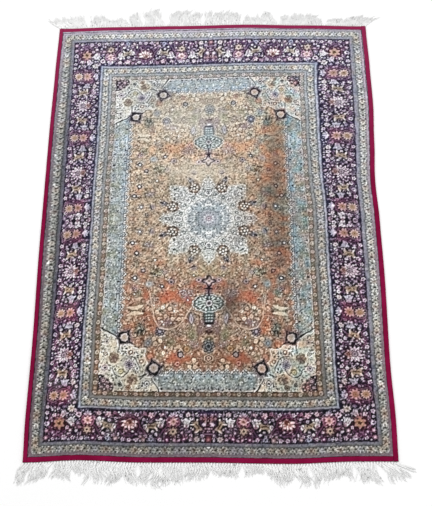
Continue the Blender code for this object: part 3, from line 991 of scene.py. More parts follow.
# The outline of half a lobe of the medallion: share of the way from its foot to its tip, share of its width.
LOBE = ((0, 1), (0.18, 1), (0.3, 0.82), (0.44, 0.9), (0.56, 0.72), (0.66, 0.5), (0.78, 0.46), (0.9, 0.16))
WIDE_LOBE = ((0, 1), (0.25, 1.08), (0.42, 1.12), (0.5, 0.94), (0.66, 0.9), (0.76, 0.62), (0.88, 0.42))
LOBE_FLOWERS = (
    "0 203 5 teal navy/-12 180 8 silver white/12 180 8 silver white/0 164 7 white navy/"
    "-26 160 6 white pine/26 160 6 white pine/-34 140 7 silver white/34 140 7 silver white/"
    "-15 146 6 white steel/15 146 6 white steel/-42 122 6 white pine/42 122 6 white pine/"
    "-27 118 7 teal white/27 118 7 teal white"
)
SPRAY = (  # the place along it, radius, dye, how much taller than wide
    "199 12 navy 1.3/215 6 navy 1.2/196 7 steel 1.2/163 29 brown 1/162 22 taupe 0.9/163 11 pine 1/"
    "163 5 cream 1"
)


def lobe(window, profile, foot, tip, width, dye, grow=0.0):
    """One pointed lobe from its foot to its tip, its outline moved outwards by grow."""
    right = [(width * w + grow, foot + (tip - foot) * s + grow * 0.4) for s, w in profile]
    left = [(-u, v) for u, v in reversed(right)]
    window.shape([*right, (0.0, tip + 2.0 * grow), *left], dye)


def draw_medallion(chart):
    """The eight-pointed medallion, which reads as white lace."""
    chart.at(0, 0, 170).rings(0, 0, "152 white/149.5 lace", 24, 0.04)
    for angle, tip, width, profile in ((0, 216, 45, LOBE), (90, 216, 45, LOBE), (45, 228, 48, WIDE_LOBE)):
        w = chart.at(0, 0, 260, -angle)
        lobe(w, profile, 92, tip, width, "white", 1.6)
        lobe(w, profile, 92, tip, width - 1.0, "lace")
        flowers(chart, lambda u, v, turn=-angle: offset(0, 0, turn, u, v), LOBE_FLOWERS, "steel")
        w.rings(0, 126, "18 pine/16.5 white/9 steel/6 white/3 navy", 8, 0.26)
    for angle in (21.5, 68.5):  # brown sprays with dark tips, between the lobes
        w = chart.at(0, 0, 250, -angle)
        for v, radius, dye, tall in rows_of(SPRAY):
            w.flower(0, v, radius, dye, 6, 0.24, 90, tall)
        w.discs("13 150 4.4 pine/15 172 4.4 navy/6 204 3 silver", (-1, 1))
        w.discs("13 163 4 cream/7 175 4 cream/7 151 4 cream", (-1, 1))
        w.discs("0 143 4 rust/0 184 3.4 cream")
    mottle(chart, "brown taupe", 5.0, "cream 0.1/pine 0.12/rust 0.06", 46)
    draw_medallion_disc(chart)
    across, along, _inwards = depths(chart)
    out = np.hypot(across, along)
    tendrils(chart, "haze", 15.0, 1.5, "silver", 43)
    tendrils(chart, "lace", 15.0, 1.5, "slate", 44)
    pack(chart, (0, 0, 112, 112), "haze", (5.0, 3.6), PANEL_MIX, 41)
    pack(chart, (0, 0, 240, 240), "lace", (5.6, 4.4, 3.4), LACE_MIX, 42)
    mottle(chart, "lace haze white", 5.0, "silver 0.08/slate 0.08/taupe 0.05", 45, out < 240)
    mottle(chart, "haze", 5.0, "white 0.26", 48, out > 60)
    mottle(chart, "lace silver white", 5.0, "white 0.4/pine 0.06", 47, (out < 240) & (out > 110))
    for x, y, turn in ((60, 231, 20), (235, 60, 70)):  # mauve wings beside each axis tip
        w = chart.at(x, y, 26, turn)
        w.rings(0, 0, "14 silver/9 mauve", 5, 0.25, 90, 0.66)
        w.leaf(-13, -6, 13, -6, 7, "navy", -4)

# Beads round the middle of the medallion: how far out, how much further round, radius, dye.
BEADS = "37 0 4.4 slate/37 0 1.8 white/27 15 3.6 mauve/18 0 2.6 white"


def draw_medallion_disc(chart):
    """The medallion's hazy disc: a rim, a wreath of leaves, a ring of beads and a small flower."""
    w = chart.at(0, 0, 130)
    w.rings(0, 0, "109 silver/107.5 white/102 haze", 16, 0.08)
    for turn in range(0, 360, 45):
        v = chart.at(0, 0, 130, -turn)
        for side in (-1, 1):
            v.leaf(side * 12, 73, side * 12, 92, 7.5, "slate", -2.5 * side)
            v.leaf(side * 12, 75, side * 12, 90, 4, "steel", -2.5 * side)
        v.disc(0, 98, 4, "white")
        v = chart.at(0, 0, 130, -turn - 22.5)
        for side in (-1, 1):
            v.leaf(side * 10, 61, side * 4, 83, 4.6, "slate", -2 * side)
        v.discs("0 91 7 white/0 91 3 steel/0 66 4 white/-14 98 3 white/14 98 3 white")
    for turn in range(0, 360, 30):
        v = chart.at(0, 0, 70, -turn)
        v.leaf(-9, 47, 9, 60, 8, "teal" if turn % 60 else "steel", 2)
        v.disc(0, 57, 2.6, "white")
    w.rings(0, 0, "47 steel/45 haze", 12, 0.08)
    for turn in range(0, 360, 30):
        for radius, further, size, dye in rows_of(BEADS):
            a = math.radians(turn + further)
            w.disc(radius * math.cos(a), radius * math.sin(a), size, dye)
    w.rings(0, 0, "11 plum/8.4 blush/5 wine/2.4 white", 8, 0.2)


# The edge of the ivory corner from the panel's side cut to its end cut, and then the corner itself.
SPANDREL = (
    "423 490/412 503/390 510/369 521/356 538/353 560/347 567/340 553/326 545/311 545/297 551/287 561/"
    "269 566/246 563/248 588/243 606/233 621/229 640/233 657/240 671/222 671/210 682/197 702/180 723/"
    "423 723"
)
SPANDREL_ROSETTES = (
    "306 624 18 mauve lilac plum silver navy/337 651 12 olive yellow gold/303 577 10 brown rust cream/"
    "258 611 10 taupe rust cream/236 694 12 pine white navy/306 709 11 brown orange brown/"
    "398 540 11 taupe lilac navy/400 640 12 mauve blush navy/400 585 9 pine white rust/"
    "340 700 9 pine silver navy"
)
SPANDREL_STEMS = (
    "348 545/350 572/358 588",
    "346 578/372 596",
    "236 658/262 668/286 668",
    "240 660/268 682",
    "300 640/330 670/360 664/372 640",
    "262 640/284 600/320 590",
)
CORNER_PIECE = (
    "423 664/404 668/394 680/384 682/380 694/368 700/364 712/366 723/423 723"
)
CORNER_DOTS = "391 692/398 702/416 674/417 698/371 705/374 717/399 719/385 693"


def draw_cartouche(chart, x, y, turn):
    """A squarish dark frame with small horns round one white flower."""
    w = chart.at(x, y, 42, turn)
    right = [(19, -22), (29, -29), (23, -12), (23, 13), (21, 21), (7, 23)]
    outline = [(0, -23), *right, (0, 31), *((-u, v) for u, v in reversed(right))]
    for size, dye in ((1.2, "brown"), (1.12, "silver"), (1.03, "night")):
        w.shape([(u * size, v * size) for u, v in outline], dye)
    w.discs("-17 -15 3 steel/17 -15 3 steel/0 22 2.6 steel")
    w.rings(0, 0, "18 pine/16.4 silver/15 sand/9 silver/7.5 sand/2.4 taupe", 8, 0.12)


def draw_spandrel(chart):
    """The ivory corner of the field, between the cut ends of the blue panel."""
    across, along, inwards = depths(chart)
    edge = [*rows_of(SPANDREL)]
    w = chart.at(300, 620, 190)
    for points in ([*edge[:-2], (HALF_WIDTH - PANEL, 723)], edge):
        w.shape([(x - 300, y - 620) for x, y in points], "ivory")
    for width, dye in ((6.0, "taupe"), (3.2, "white")):
        chart.stroke(spline(edge[:-1]), width, dye)
    for cut in (((421, 487), (361, 519)), ((218, 676), (187, 722))):
        chart.stroke(cut, 5.0, "pine")
    for stem in SPANDREL_STEMS:
        chart.stroke(spline([*rows_of(stem)]), 3.0, "steel")
    for x, y, turn in ((366, 600, 20), (292, 680, -70)):
        w = chart.at(x, y, 40, turn)
        w.rings(0, 0, "25 cream/22 sage/19 taupe", 7, 0.22, 90, 1.1)
        for angle in (-50, -25, 0, 25, 50):
            a = math.radians(angle)
            dye = "mauve" if angle % 50 else "brown"
            w.leaf(-8 * math.sin(a), -8, 20 * math.sin(a), 16 * math.cos(a), 3.0, dye)
    rosettes(chart, SPANDREL_ROSETTES)
    # The plum piece in the very corner.
    w = chart.at(400, 700, 60)
    for shift, dye in ((3, "taupe"), (0, "night")):
        w.shape([(x - 400 - shift, y - 700 - shift) for x, y in rows_of(CORNER_PIECE)], dye)
    for x, y, radius in ((403, 688, 12), (386, 709, 12), (411, 711, 9)):
        rosette(chart, x, y, radius, ((1.0, "taupe"), (0.8, "night"), (0.54, "pink"), (0.2, "wine")))
    for x, y in rows_of(CORNER_DOTS):
        chart.at(x, y, 4).disc(0, 0, 2.8, "pink")
    draw_cartouche(chart, 329, 521, -80)
    draw_cartouche(chart, 210, 637, -32)
    mottle(chart, "ivory", 16.0, "lace 0.3/cream 0.06", 34)
    corner = (inwards > PANEL) & (inwards < 560) & (along > 480) & (across > 180)
    mottle(chart, "sage taupe", 5.0, "sand 0.3/olive 0.1", 35, corner)
    tendrils(chart, "ivory lace", 30.0, 1.5, "sage", 33)
    pack(chart, (180, 480, 424, 724), "ivory lace", (5.4, 4.4, 3.4, 2.6), IVORY_MIX, 31, crowd=0.9)
    mottle(chart, "ivory", 5.0, "white 0.12/sage 0.06/steel 0.06/cream 0.1", 32)


def draw_quarter():
    """One quarter of the rug, x and y from the middle."""
    chart = Chart(0, HALF_WIDTH, 0, HALF_LENGTH)
    lay_grounds(chart)
    draw_guard(chart, OUTER_GUARD, OUTER_STRIPE - OUTER_GUARD, 27.0, 3)
    draw_guard(chart, INNER_GUARD, GREY_STRIPE - INNER_GUARD, 28.0, 4)
    mottle(chart, "stripe", 9.0, "sage 0.12/slate 0.2/steel 0.12", 17)
    mottle(chart, "inner", 9.0, "sky 0.15/slate 0.2/silver 0.15", 18)
    mottle(chart, "greyish", 7.0, "slate 0.12/sage 0.12", 19)
    for draw in (
        draw_main_border, draw_gold_guard, draw_panel, draw_zigzag, draw_field, draw_medallion, draw_pendant,
        draw_spandrel, pack_field,
    ):
        draw(chart)
    return chart


# ------------------------------------------------------------------ colour

CRISPNESS = 1.2
HUE_REACH = 12  # cells over which the hues of neighbouring knots have run together

# The field's own dye varies along the rug, as its yarn was dyed in lots, and it is also painted paler towards
# the far end with the pile's sheen and the light: (y in mm, colour).
FIELD_LOTS = (
    (-650, (168, 92, 66)), (-480, (167, 98, 74)), (-340, (180, 102, 76)), (-250, (180, 120, 92)),
    (-60, (182, 142, 114)), (140, (190, 154, 124)), (300, (202, 168, 136)), (400, (204, 168, 136)),
    (480, (208, 184, 154)), (650, (206, 188, 160)),
)
# Worn or stained places in the field, and one painted shadow on the medallion's right side at (150, 60):
# where (x, y), how far they reach (x, y), how strong, tint.
PATCHES = (
    (304, 60, 46, 420, 0.20, (86, 56, 42)), (300, -525, 50, 50, 0.20, (110, 84, 70)),
    (80, 380, 40, 40, 0.20, (214, 206, 190)), (250, 60, 60, 220, 0.18, (108, 58, 42)),
    (90, -84, 40, 50, 0.20, (120, 104, 92)), (300, 410, 44, 70, 0.24, (96, 84, 74)),
    (285, -97, 44, 50, 0.40, (84, 86, 84)), (278, 130, 60, 60, 0.32, (92, 82, 72)),
    (300, -190, 44, 50, 0.30, (156, 72, 52)), (292, 238, 54, 50, 0.30, (160, 88, 66)),
    (288, 300, 44, 80, 0.34, (186, 96, 58)), (210, 170, 60, 60, 0.16, (128, 90, 66)),
    (315, 480, 44, 170, 0.20, (124, 110, 92)), (85, -375, 50, 70, 0.50, (74, 70, 66)),
    (200, -310, 90, 50, 0.34, (92, 84, 74)), (0, -505, 90, 60, 0.22, (112, 104, 84)),
    (60, -610, 130, 40, 0.18, (110, 80, 60)), (150, 370, 50, 40, 0.25, (136, 108, 88)),
    # Painted shadow: the row at (150, 60) darkens the medallion's right side.
    (150, 60, 60, 90, 0.22, (124, 104, 84)), (-230, -40, 120, 190, 0.16, (176, 172, 154)),
    (-150, 480, 140, 80, 0.34, (224, 222, 208)), (-130, 350, 60, 40, 0.20, (216, 152, 112)),
    (120, 360, 60, 34, 0.15, (206, 132, 92)), (-60, 570, 230, 110, 0.24, (204, 210, 210)),
    (0, 590, 60, 60, 0.35, (216, 206, 188)), (0, 430, 60, 60, 0.34, (190, 202, 208)),
    (215, 610, 90, 40, 0.18, (126, 112, 98)), (-225, 620, 60, 60, 0.20, (150, 140, 130)),
    (-40, 235, 160, 62, 0.60, (228, 222, 206)), (-30, -172, 120, 34, 0.35, (200, 208, 194)),
    (0, -246, 96, 30, 0.36, (158, 158, 122)),
)
# Lighter and darker places, painted light and shade that also set the tone of some bands: where (x, y), how
# far they reach (x, y), how much lighter.
SHADES = (
    (0, -830, 690, 172, -0.10), (0, -865, 560, 64, -0.12), (-565, 0, 64, 900, -0.06),
    (0, -957, 640, 15, -0.18), (0, -736, 440, 12, -0.15), (0, 957, 640, 15, 0.08), (0, 938, 640, 8, 0.08),
    (0, 795, 500, 8, -0.10), (0, 752, 460, 8, -0.10), (0, 735, 430, 10, -0.07), (-677, 0, 8, 900, -0.26),
    (-654, 0, 12, 900, -0.18), (-638, 0, 12, 900, -0.28), (-430, 0, 12, 720, -0.07),
    (638, 0, 12, 900, 0.08), (-565, 300, 64, 640, -0.05), (565, -100, 64, 760, -0.14),
    (420, 0, 70, 720, -0.09), (-452, 0, 8, 720, -0.07), (304, 60, 46, 420, -0.13),
    (150, -60, 60, 70, -0.07), (80, -385, 44, 40, -0.12), (-375, 60, 36, 120, 0.05),
    (270, -655, 120, 60, -0.07), (-310, -680, 60, 40, -0.07), (-232, 650, 40, 70, -0.12),
    (-228, -590, 40, 110, -0.10), (382, 375, 36, 56, 0.13), (-382, 375, 36, 56, 0.13),
    (388, -445, 32, 36, 0.15), (388, -525, 30, 32, -0.10), (-494, 0, 8, 720, -0.08),
)
# How unevenly light the yarn is from knot to knot and from patch to patch. For the patches: how much, and
# how many of them along and across the rug.
KNOT_UNEVEN = 0.08
YARN_UNEVEN = ((0.05, (260, 8)), (0.07, (40, 28)), (0.09, (480, 340)))
# The right side of the field is redder in patches, more and more between those two places across.
REDDER, REDDER_PATCHES, REDDER_FROM = (20, -5, -14), (84, 58), (120, 260)


def dye_colours(chart):
    """The chart's colours, sRGB from 0 to 1, with the dye lots, stains, uneven yarn, and painted light and
    shade: the far end painted paler with sheen, and places painted lighter or darker.
    """
    strong = np.array([near for near, _far in DYES.values()], float)
    far_lit = np.array([far for _near, far in DYES.values()], float)
    x, y = chart.x[None, :], chart.y[:, None]
    # Painted sheen and light: each dye turns towards its paler far colour along the rug.
    far_sheen = smooth_ramp(y, -900, 900)[..., None]
    colours = strong[chart.dye] * (1 - far_sheen) + far_lit[chart.dye] * far_sheen
    places, lots = zip(*FIELD_LOTS)
    ground = np.stack([np.interp(chart.y, places, [lot[i] for lot in lots]) for i in range(3)], 1)
    plain = np.isin(chart.dye, (DYE["field"], DYE["clay"]))
    colours[plain] = np.broadcast_to(ground[:, None, :], colours.shape)[plain]
    inside = (np.abs(x) < HALF_WIDTH - PANEL) & (np.abs(y) < HALF_LENGTH - PANEL)
    for px, py, reach_x, reach_y, strength, tint in PATCHES:
        weight = strength * inside * np.exp(-(((x - px) / reach_x) ** 2) - ((y - py) / reach_y) ** 2)
        colours += weight[..., None] * (np.array(tint) - colours)
    # Painted light and shade: each place is made lighter or darker.
    for px, py, reach_x, reach_y, lighter in SHADES:
        colours *= 1 + lighter * np.exp(-(((x - px) / reach_x) ** 4) - ((y - py) / reach_y) ** 4)[..., None]
    rng = np.random.default_rng(1)
    shape = chart.dye.shape
    yarn = 1 + KNOT_UNEVEN * rng.standard_normal(shape)
    for uneven, patches in YARN_UNEVEN:
        yarn += uneven * soft_noise(shape, patches, rng)
    redder = soft_noise(shape, REDDER_PATCHES, rng) * smooth_ramp(x, *REDDER_FROM) * inside
    colours += redder[..., None] * REDDER
    return np.clip(colours * yarn[..., None], 0, 255) / 255


def softened(colours, reach):
    """Each cell's colour mixed with its neighbours', up to that many cells away."""
    for axis in (0, 1):
        shares = reach + 1 - np.abs(np.arange(-reach, reach + 1))
        shares = shares / shares.sum()
        colours = sum(np.roll(colours, k - reach, axis) * share for k, share in enumerate(shares))
    return colours


def worn(colours):
    """The colours as old close-cut pile shows them: light and dark stay crisp, and the hues run together."""
    light = (colours @ np.array((0.30, 0.59, 0.11)))[..., None]
    hue = softened(colours - light, HUE_REACH)
    fine = softened(light, 1)
    return np.clip(hue + fine + CRISPNESS * (fine - softened(fine, 5)), 0.01, 0.98)


def unfold(quarter):
    """The whole rug from its quarter, mirrored both ways."""
    chart = Chart(-HALF_WIDTH, HALF_WIDTH, -HALF_LENGTH, HALF_LENGTH)
    chart.x = np.concatenate([-quarter.x[::-1], quarter.x])
    chart.y = np.concatenate([-quarter.y[::-1], quarter.y])
    half = np.hstack([quarter.dye[:, ::-1], quarter.dye])
    chart.dye = np.vstack([half[::-1], half])
    return chart


def draw_near_loops(chart):
    """The pale lines round the fruit, which only the near half shows."""
    for side in (-1, 1):
        loop = spline([(side * x, -y) for x, y in rows_of(LOOP)])
        chart.stroke(loop, 5.6, "taupe")
        chart.stroke(loop, 2.8, "sand")


# ------------------------------------------------------------------ the rug's outline, from the frame

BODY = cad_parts["rug_body"]
BODY_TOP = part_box("rug_body")[1].z
EDGE_STRIP = 0.030  # a vertex this close to the body's box belongs to that edge


def edge_line(edge):
    """(places along, values across) of one edge of the body, from its vertices."""
    low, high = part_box("rug_body")
    across = 0 if edge in ("left", "right") else 1
    limit = low[across] + EDGE_STRIP if edge in ("left", "near") else high[across] - EDGE_STRIP
    points = {(round(v.co.x, 6), round(v.co.y, 6)) for v in BODY.data.vertices}
    if edge in ("left", "near"):
        points = {p for p in points if p[across] < limit}
    else:
        points = {p for p in points if p[across] > limit}
    ordered = sorted(points, key=lambda p: p[1 - across])
    return np.array([p[1 - across] for p in ordered]), np.array([p[across] for p in ordered])


EDGE_LINES_OF_BODY = {edge: edge_line(edge) for edge in EDGES}


def edge_at(edge, place):
    return np.interp(place, *EDGE_LINES_OF_BODY[edge])


def lay(share_x, share_y):
    """Where the point lies that is share_x of the way across the body and share_y of the way along it."""
    x, y = (share_x - 0.5) * 1.36, (share_y - 0.5) * 1.96  # a first guess, which four rounds settle
    for _ in range(4):
        left, right = edge_at("left", y), edge_at("right", y)
        near, far = edge_at("near", x), edge_at("far", x)
        x, y = left + (right - left) * share_x, near + (far - near) * share_y
    return x, y


# Soft ridges where the rug was folded: a place on it, heading in degrees, half length, half width, height.
CREASES = (
    (-0.52, 0.335, 12.0, 0.24, 0.022, 0.0022), (-0.60, 0.180, -10.0, 0.16, 0.020, 0.0018),
    (-0.50, -0.300, 6.0, 0.26, 0.024, 0.0012), (0.10, 0.420, 3.0, 0.60, 0.030, 0.0010),
    (0.46, 0.060, -4.0, 0.26, 0.026, 0.0012), (-0.10, -0.640, 2.0, 0.62, 0.030, 0.0010),
)


def rise(x, y):
    """How far creases lift the rug off the floor."""
    height = 0.0
    for cx, cy, heading, half_length, half_width, top in CREASES:
        c, s = math.cos(math.radians(heading)), math.sin(math.radians(heading))
        along, across = (x - cx) * c + (y - cy) * s, (y - cy) * c - (x - cx) * s
        height = height + top * np.exp(-((across / half_width) ** 2) - (along / half_length) ** 2)
    return height


# ------------------------------------------------------------------ meshes


def add_piece(name, points, faces, material):
    """A mesh object from arrays, riding on the rug."""
    mesh = bpy.data.meshes.new(name)
    faces = np.asarray(faces, np.int32)
    mesh.vertices.add(len(points))
    mesh.vertices.foreach_set("co", np.asarray(points, np.float32).ravel())
    mesh.loops.add(faces.size)
    mesh.loops.foreach_set("vertex_index", faces.ravel())
    mesh.polygons.add(len(faces))
    mesh.polygons.foreach_set("loop_start", np.arange(0, faces.size, faces.shape[1], dtype=np.int32))
    mesh.polygons.foreach_set("use_smooth", np.full(len(faces), True))
    mesh.update(calc_edges=True)
    mesh.materials.append(material)
    piece = bpy.data.objects.new(name, mesh)
    bpy.context.scene.collection.objects.link(piece)
    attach(piece, "root")
    return piece


def grid_faces(rows, columns, wrap=False):
    """Quads over a grid of points, row after row; wrap joins each row's end to its start."""
    i, j = np.meshgrid(np.arange(rows - 1), np.arange(columns if wrap else columns - 1), indexing="ij")
    a, b = i * columns + j, i * columns + (j + 1) % columns
    return np.stack([a, b, b + columns, a + columns], -1).reshape(-1, 4)


def set_colours(piece, colours):
    """Stores one linear colour for each point, as the attribute that the material reads."""
    attribute = piece.data.color_attributes.new("yarn", "FLOAT_COLOR", "POINT")
    rgba = np.ones((len(colours), 4), np.float32)
    rgba[:, :3] = colours
    attribute.data.foreach_set("color", rgba.ravel())


def set_map(piece, points):
    """A flat UV map that fills the square."""
    flat = points[:, :2]
    flat = (flat - flat.min(0)) / (flat.max(0) - flat.min(0))
    corners = np.zeros(len(piece.data.loops), np.int32)
    piece.data.loops.foreach_get("vertex_index", corners)
    layer = piece.data.uv_layers.new(name="OFBake")
    layer.data.foreach_set("uv", flat[corners].astype(np.float32).ravel())


# ------------------------------------------------------------------ pile and foundation

PILE_PITCH = 2 * CELL * MM
PILE_STRIPS = 4
PILE_RELIEF = 0.0005  # how uneven the tufts stand
FOUNDATION_PITCH = 0.020
FOUNDATION_HEIGHT = 0.0006
BARE_SIZE = (1.362, 1.962)  # of the rug inside its bindings
# The weaving drew the pattern askew. Rows along the rug and columns across it, in mm: how much further to
# the right, and how much further on, the chart is read at each place than a straight weaving would show it.
ASKEW_X = (-675, -640, -425, 0, 425, 655)
ASKEW_RIGHT = (
    (-1000, (0, 0, 6, 6, 6, 0)), (-700, (0, -2, 8, 6, 12, 0)), (-460, (0, -6, 10, 5, 14, 1)),
    (-230, (0, -12, 2, 6, 21, 2)), (100, (0, -12, 0, 6, 18, 2)), (400, (0, -11, -6, 10, 36, 3)),
    (650, (0, -10, -1, 10, 44, 4)), (850, (0, -6, 0, 8, 34, 5)), (1000, (0, 0, 2, 6, 12, 4)),
)
ASKEW_ON = (
    (-1000, (0, 0, 0, 0, 0, 0)), (-955, (-2, -2, -2, -2, -2, -2)), (-725, (6, 6, 4, 6, 2, 0)),
    (-500, (0, 0, -13, -13, -13, 0)), (-350, (0, 0, -20, -20, -20, 0)), (0, (0, 0, -13, -13, -13, 0)),
    (400, (0, 0, 6, 6, -2, 0)), (650, (10, 10, 17, 12, -3, 0)), (725, (10, 10, 20, 13, 4, 2)),
    (955, (10, 10, 10, 10, 6, 4)), (1000, (10, 10, 10, 10, 5, 4)),
)
HAND = ((1.7, 15.0), (1.0, 7.0))  # mm, how unsteadily the lines were knotted, over what length
BINDING_INSET = {"left": 17.3, "right": 20.3, "near": 19.3, "far": 20.3}  # mm of the chart under each binding


def askew(table, x, y):
    """The table's value at (x, y), blended between its rows and columns."""
    row = np.interp(y, [place for place, _values in table], range(len(table)))
    value = 0.0
    for number, (_place, values) in enumerate(table):
        value = value + np.interp(x, ASKEW_X, values) * np.clip(1 - np.abs(row - number), 0, 1)
    return value


def chart_places(share_x, share_y):
    """The place in the chart, in mm, that shows at a point of the body."""
    left, right, near, far = (BINDING_INSET[edge] for edge in EDGES)
    x = -HALF_WIDTH + left + share_x * (2 * HALF_WIDTH - left - right)
    y = -HALF_LENGTH + near + share_y * (2 * HALF_LENGTH - near - far)
    rng = np.random.default_rng(19)
    shake = [0.0, 0.0]
    for reach, length in HAND:
        patches = (2 * HALF_LENGTH / length, 2 * HALF_WIDTH / length)
        for axis in (0, 1):
            shake[axis] = shake[axis] + reach * soft_noise(x.shape, patches, rng)
    return x + askew(ASKEW_RIGHT, x, y) + shake[0], y + askew(ASKEW_ON, x, y) + shake[1]


def read_chart(chart, colours, x, y):
    """The colours of the cells at those places."""
    column = np.clip(((x - chart.x[0]) / CELL).round().astype(int), 0, len(chart.x) - 1)
    row = np.clip(((y - chart.y[0]) / CELL).round().astype(int), 0, len(chart.y) - 1)
    return colours[row, column]


def to_linear(colours):
    return np.where(colours <= 0.04045, colours / 12.92, ((colours + 0.055) / 1.055) ** 2.4)


def wool_pile():
    """Knotted wool: the chart's colours, tufts, fine fibres and a soft sheen, worn a little."""
    surface = Surface("wool_pile")
    yarn = surface.add("ShaderNodeAttribute", attribute_name="yarn").outputs["Color"]
    tufts = surface.noise(430.0, 2.0, (1.0, 1.25, 0.2))
    rows = surface.noise(60.0, 2.0, (0.3, 6.0, 0.2))
    uneven = surface.remap(tufts, 0.80, 1.20, 0.25, 0.75)
    lit = surface.math("MULTIPLY", uneven, surface.remap(rows, 0.95, 1.05))
    worn = surface.remap(surface.noise(9.0, 5.0, roughness=0.65), 0.0, 0.10, 0.56, 0.78)
    colour = surface.blend(worn, surface.scaled(yarn, lit), (0.56, 0.52, 0.45))
    normal = surface.bump(rows, 0.0006, 0.5, surface.bump(tufts, 0.0009, 0.8))
    return surface.finish(colour, surface.remap(tufts, 0.78, 0.96), normal, 0.12, (1.0, 0.97, 0.92), 0.12)


def cotton_foundation():
    """The back of the rug: flat knots in the pattern's colours between lines of cotton weft."""
    surface = Surface("cotton_foundation")
    yarn = surface.add("ShaderNodeAttribute", attribute_name="yarn").outputs["Color"]
    knots = surface.noise(420.0, 1.0, (1.0, 1.0, 0.2))
    wefts = surface.noise(300.0, 1.0, (0.15, 1.6, 0.2))
    lines = surface.remap(wefts, 0.0, 0.55, 0.48, 0.62)
    colour = surface.blend(lines, surface.scaled(yarn, surface.remap(knots, 0.8, 1.15)), (0.62, 0.58, 0.50))
    normal = surface.bump(wefts, 0.0006, 0.8, surface.bump(knots, 0.0005, 0.6))
    return surface.finish(colour, surface.remap(knots, 0.85, 0.98), normal, 0.05)


def make_pile(chart, colours):
    """The pile in strips along the rug, one point for each pair of knots."""
    rng = np.random.default_rng(77)
    material = wool_pile()
    wide, long = (int(round(size / PILE_PITCH)) + 1 for size in BARE_SIZE)
    share_x, share_y = np.meshgrid(np.linspace(0, 1, wide), np.linspace(0, 1, long))
    x, y = lay(share_x, share_y)
    z = BODY_TOP + rise(x, y) + PILE_RELIEF * rng.uniform(-0.5, 0.5, x.shape)
    shown = read_chart(chart, colours, *chart_places(share_x, share_y))
    cuts = np.linspace(0, wide - 1, PILE_STRIPS + 1).round().astype(int)
    strips = []
    for number, (first, last) in enumerate(zip(cuts, cuts[1:])):
        part = slice(first, last + 1)
        points = np.stack([x[:, part], y[:, part], z[:, part]], -1).reshape(-1, 3)
        faces = grid_faces(long, last + 1 - first)
        strip = add_piece(f"pile_{number + 1}", points, faces, material)
        set_colours(strip, shown[:, part].reshape(-1, 3))
        set_map(strip, points)
        strips.append(strip)
    return strips


def make_foundation(chart, colours):
    """The woven back, which carries the pile and shows the same pattern."""
    wide, long = (int(round(size / FOUNDATION_PITCH)) + 1 for size in BARE_SIZE)
    share_x, share_y = np.meshgrid(np.linspace(0, 1, wide), np.linspace(0, 1, long))
    x, y = lay(share_x, share_y)
    z = FOUNDATION_HEIGHT + rise(x, y)
    points = np.stack([x, y, z], -1).reshape(-1, 3)
    sheet = add_piece("foundation", points, grid_faces(long, wide)[:, ::-1], cotton_foundation())
    set_colours(sheet, read_chart(chart, colours, *chart_places(share_x, share_y)).reshape(-1, 3))
    set_map(sheet, points)
    return sheet


# ------------------------------------------------------------------ bindings

BINDING_PROFILE = (  # share of the width from the outer edge, share of the thickness
    (0, 0.05), (0, 0.62), (0.06, 0.84), (0.18, 0.94), (0.34, 0.98), (0.5, 1), (0.68, 0.98), (0.84, 0.93),
    (0.96, 0.82), (1, 0.66), (1, 0.05),
)
WRAP_PITCH = 0.0032  # one turn of the overcasting yarn
WRAP_DEPTH = 0.0007
WRAP_SLANT = 0.0016


def crimson_wool():
    """The overcasting: crimson wool whose turns and fibres show, painted paler towards the far end, where
    light and sheen brighten the rug.
    """
    surface = Surface("crimson_wool")
    strands = surface.noise(900.0, 3.0, (1.0, 1.0, 1.0))
    patches = surface.noise(14.0, 3.0)
    place = surface.add("ShaderNodeSeparateXYZ")
    surface.link(surface.places, place.inputs[0])
    # Painted light: the wool turns paler towards the far end.
    far_light = surface.remap(place.outputs["Y"], 0.0, 0.75, 0.1, 1.05)
    share = surface.remap(patches, 0.0, 1.0, 0.35, 0.7)
    base = surface.blend(share, (0.175, 0.0015, 0.030), (0.230, 0.003, 0.046))
    colour = surface.blend(far_light, base, (0.268, 0.023, 0.082))
    colour = surface.scaled(colour, surface.remap(strands, 0.72, 1.28, 0.25, 0.75))
    normal = surface.bump(strands, 0.0006, 0.8)
    return surface.finish(colour, surface.remap(strands, 0.7, 0.9), normal, 0.02, (1.0, 0.75, 0.8), 0.06)


def binding_edges(edge):
    """(outer points, inner points) of a binding at matching places, read from its node."""
    across = 0 if edge in ("left", "right") else 1
    sign = -1 if edge in ("left", "near") else 1
    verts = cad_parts[f"binding_{edge}"].data.vertices
    flat = sorted({(round(v.co[1 - across], 5), round(v.co[across], 5)) for v in verts if v.co.z < 0.0005})
    middle = {}
    for place, value in flat:
        middle.setdefault(place, []).append(value * sign)
    lines = []
    for pick in (max, min):
        # An end may hold the outer and the inner corner at two places.
        rows = [(p, pick(v)) for p, v in sorted(middle.items()) if len(v) > 1]
        lines.append(rows)
    tips = [(p, v[0]) for p, v in sorted(middle.items()) if len(v) == 1]
    for place, value in tips:
        nearest = [min(rows, key=lambda r: abs(r[0] - place)) for rows in lines]
        owner = 0 if abs(value - nearest[0][1]) < abs(value - nearest[1][1]) else 1
        lines[owner].append((place, value))
    return [np.array(sorted(rows)) * (1, sign) for rows in lines]


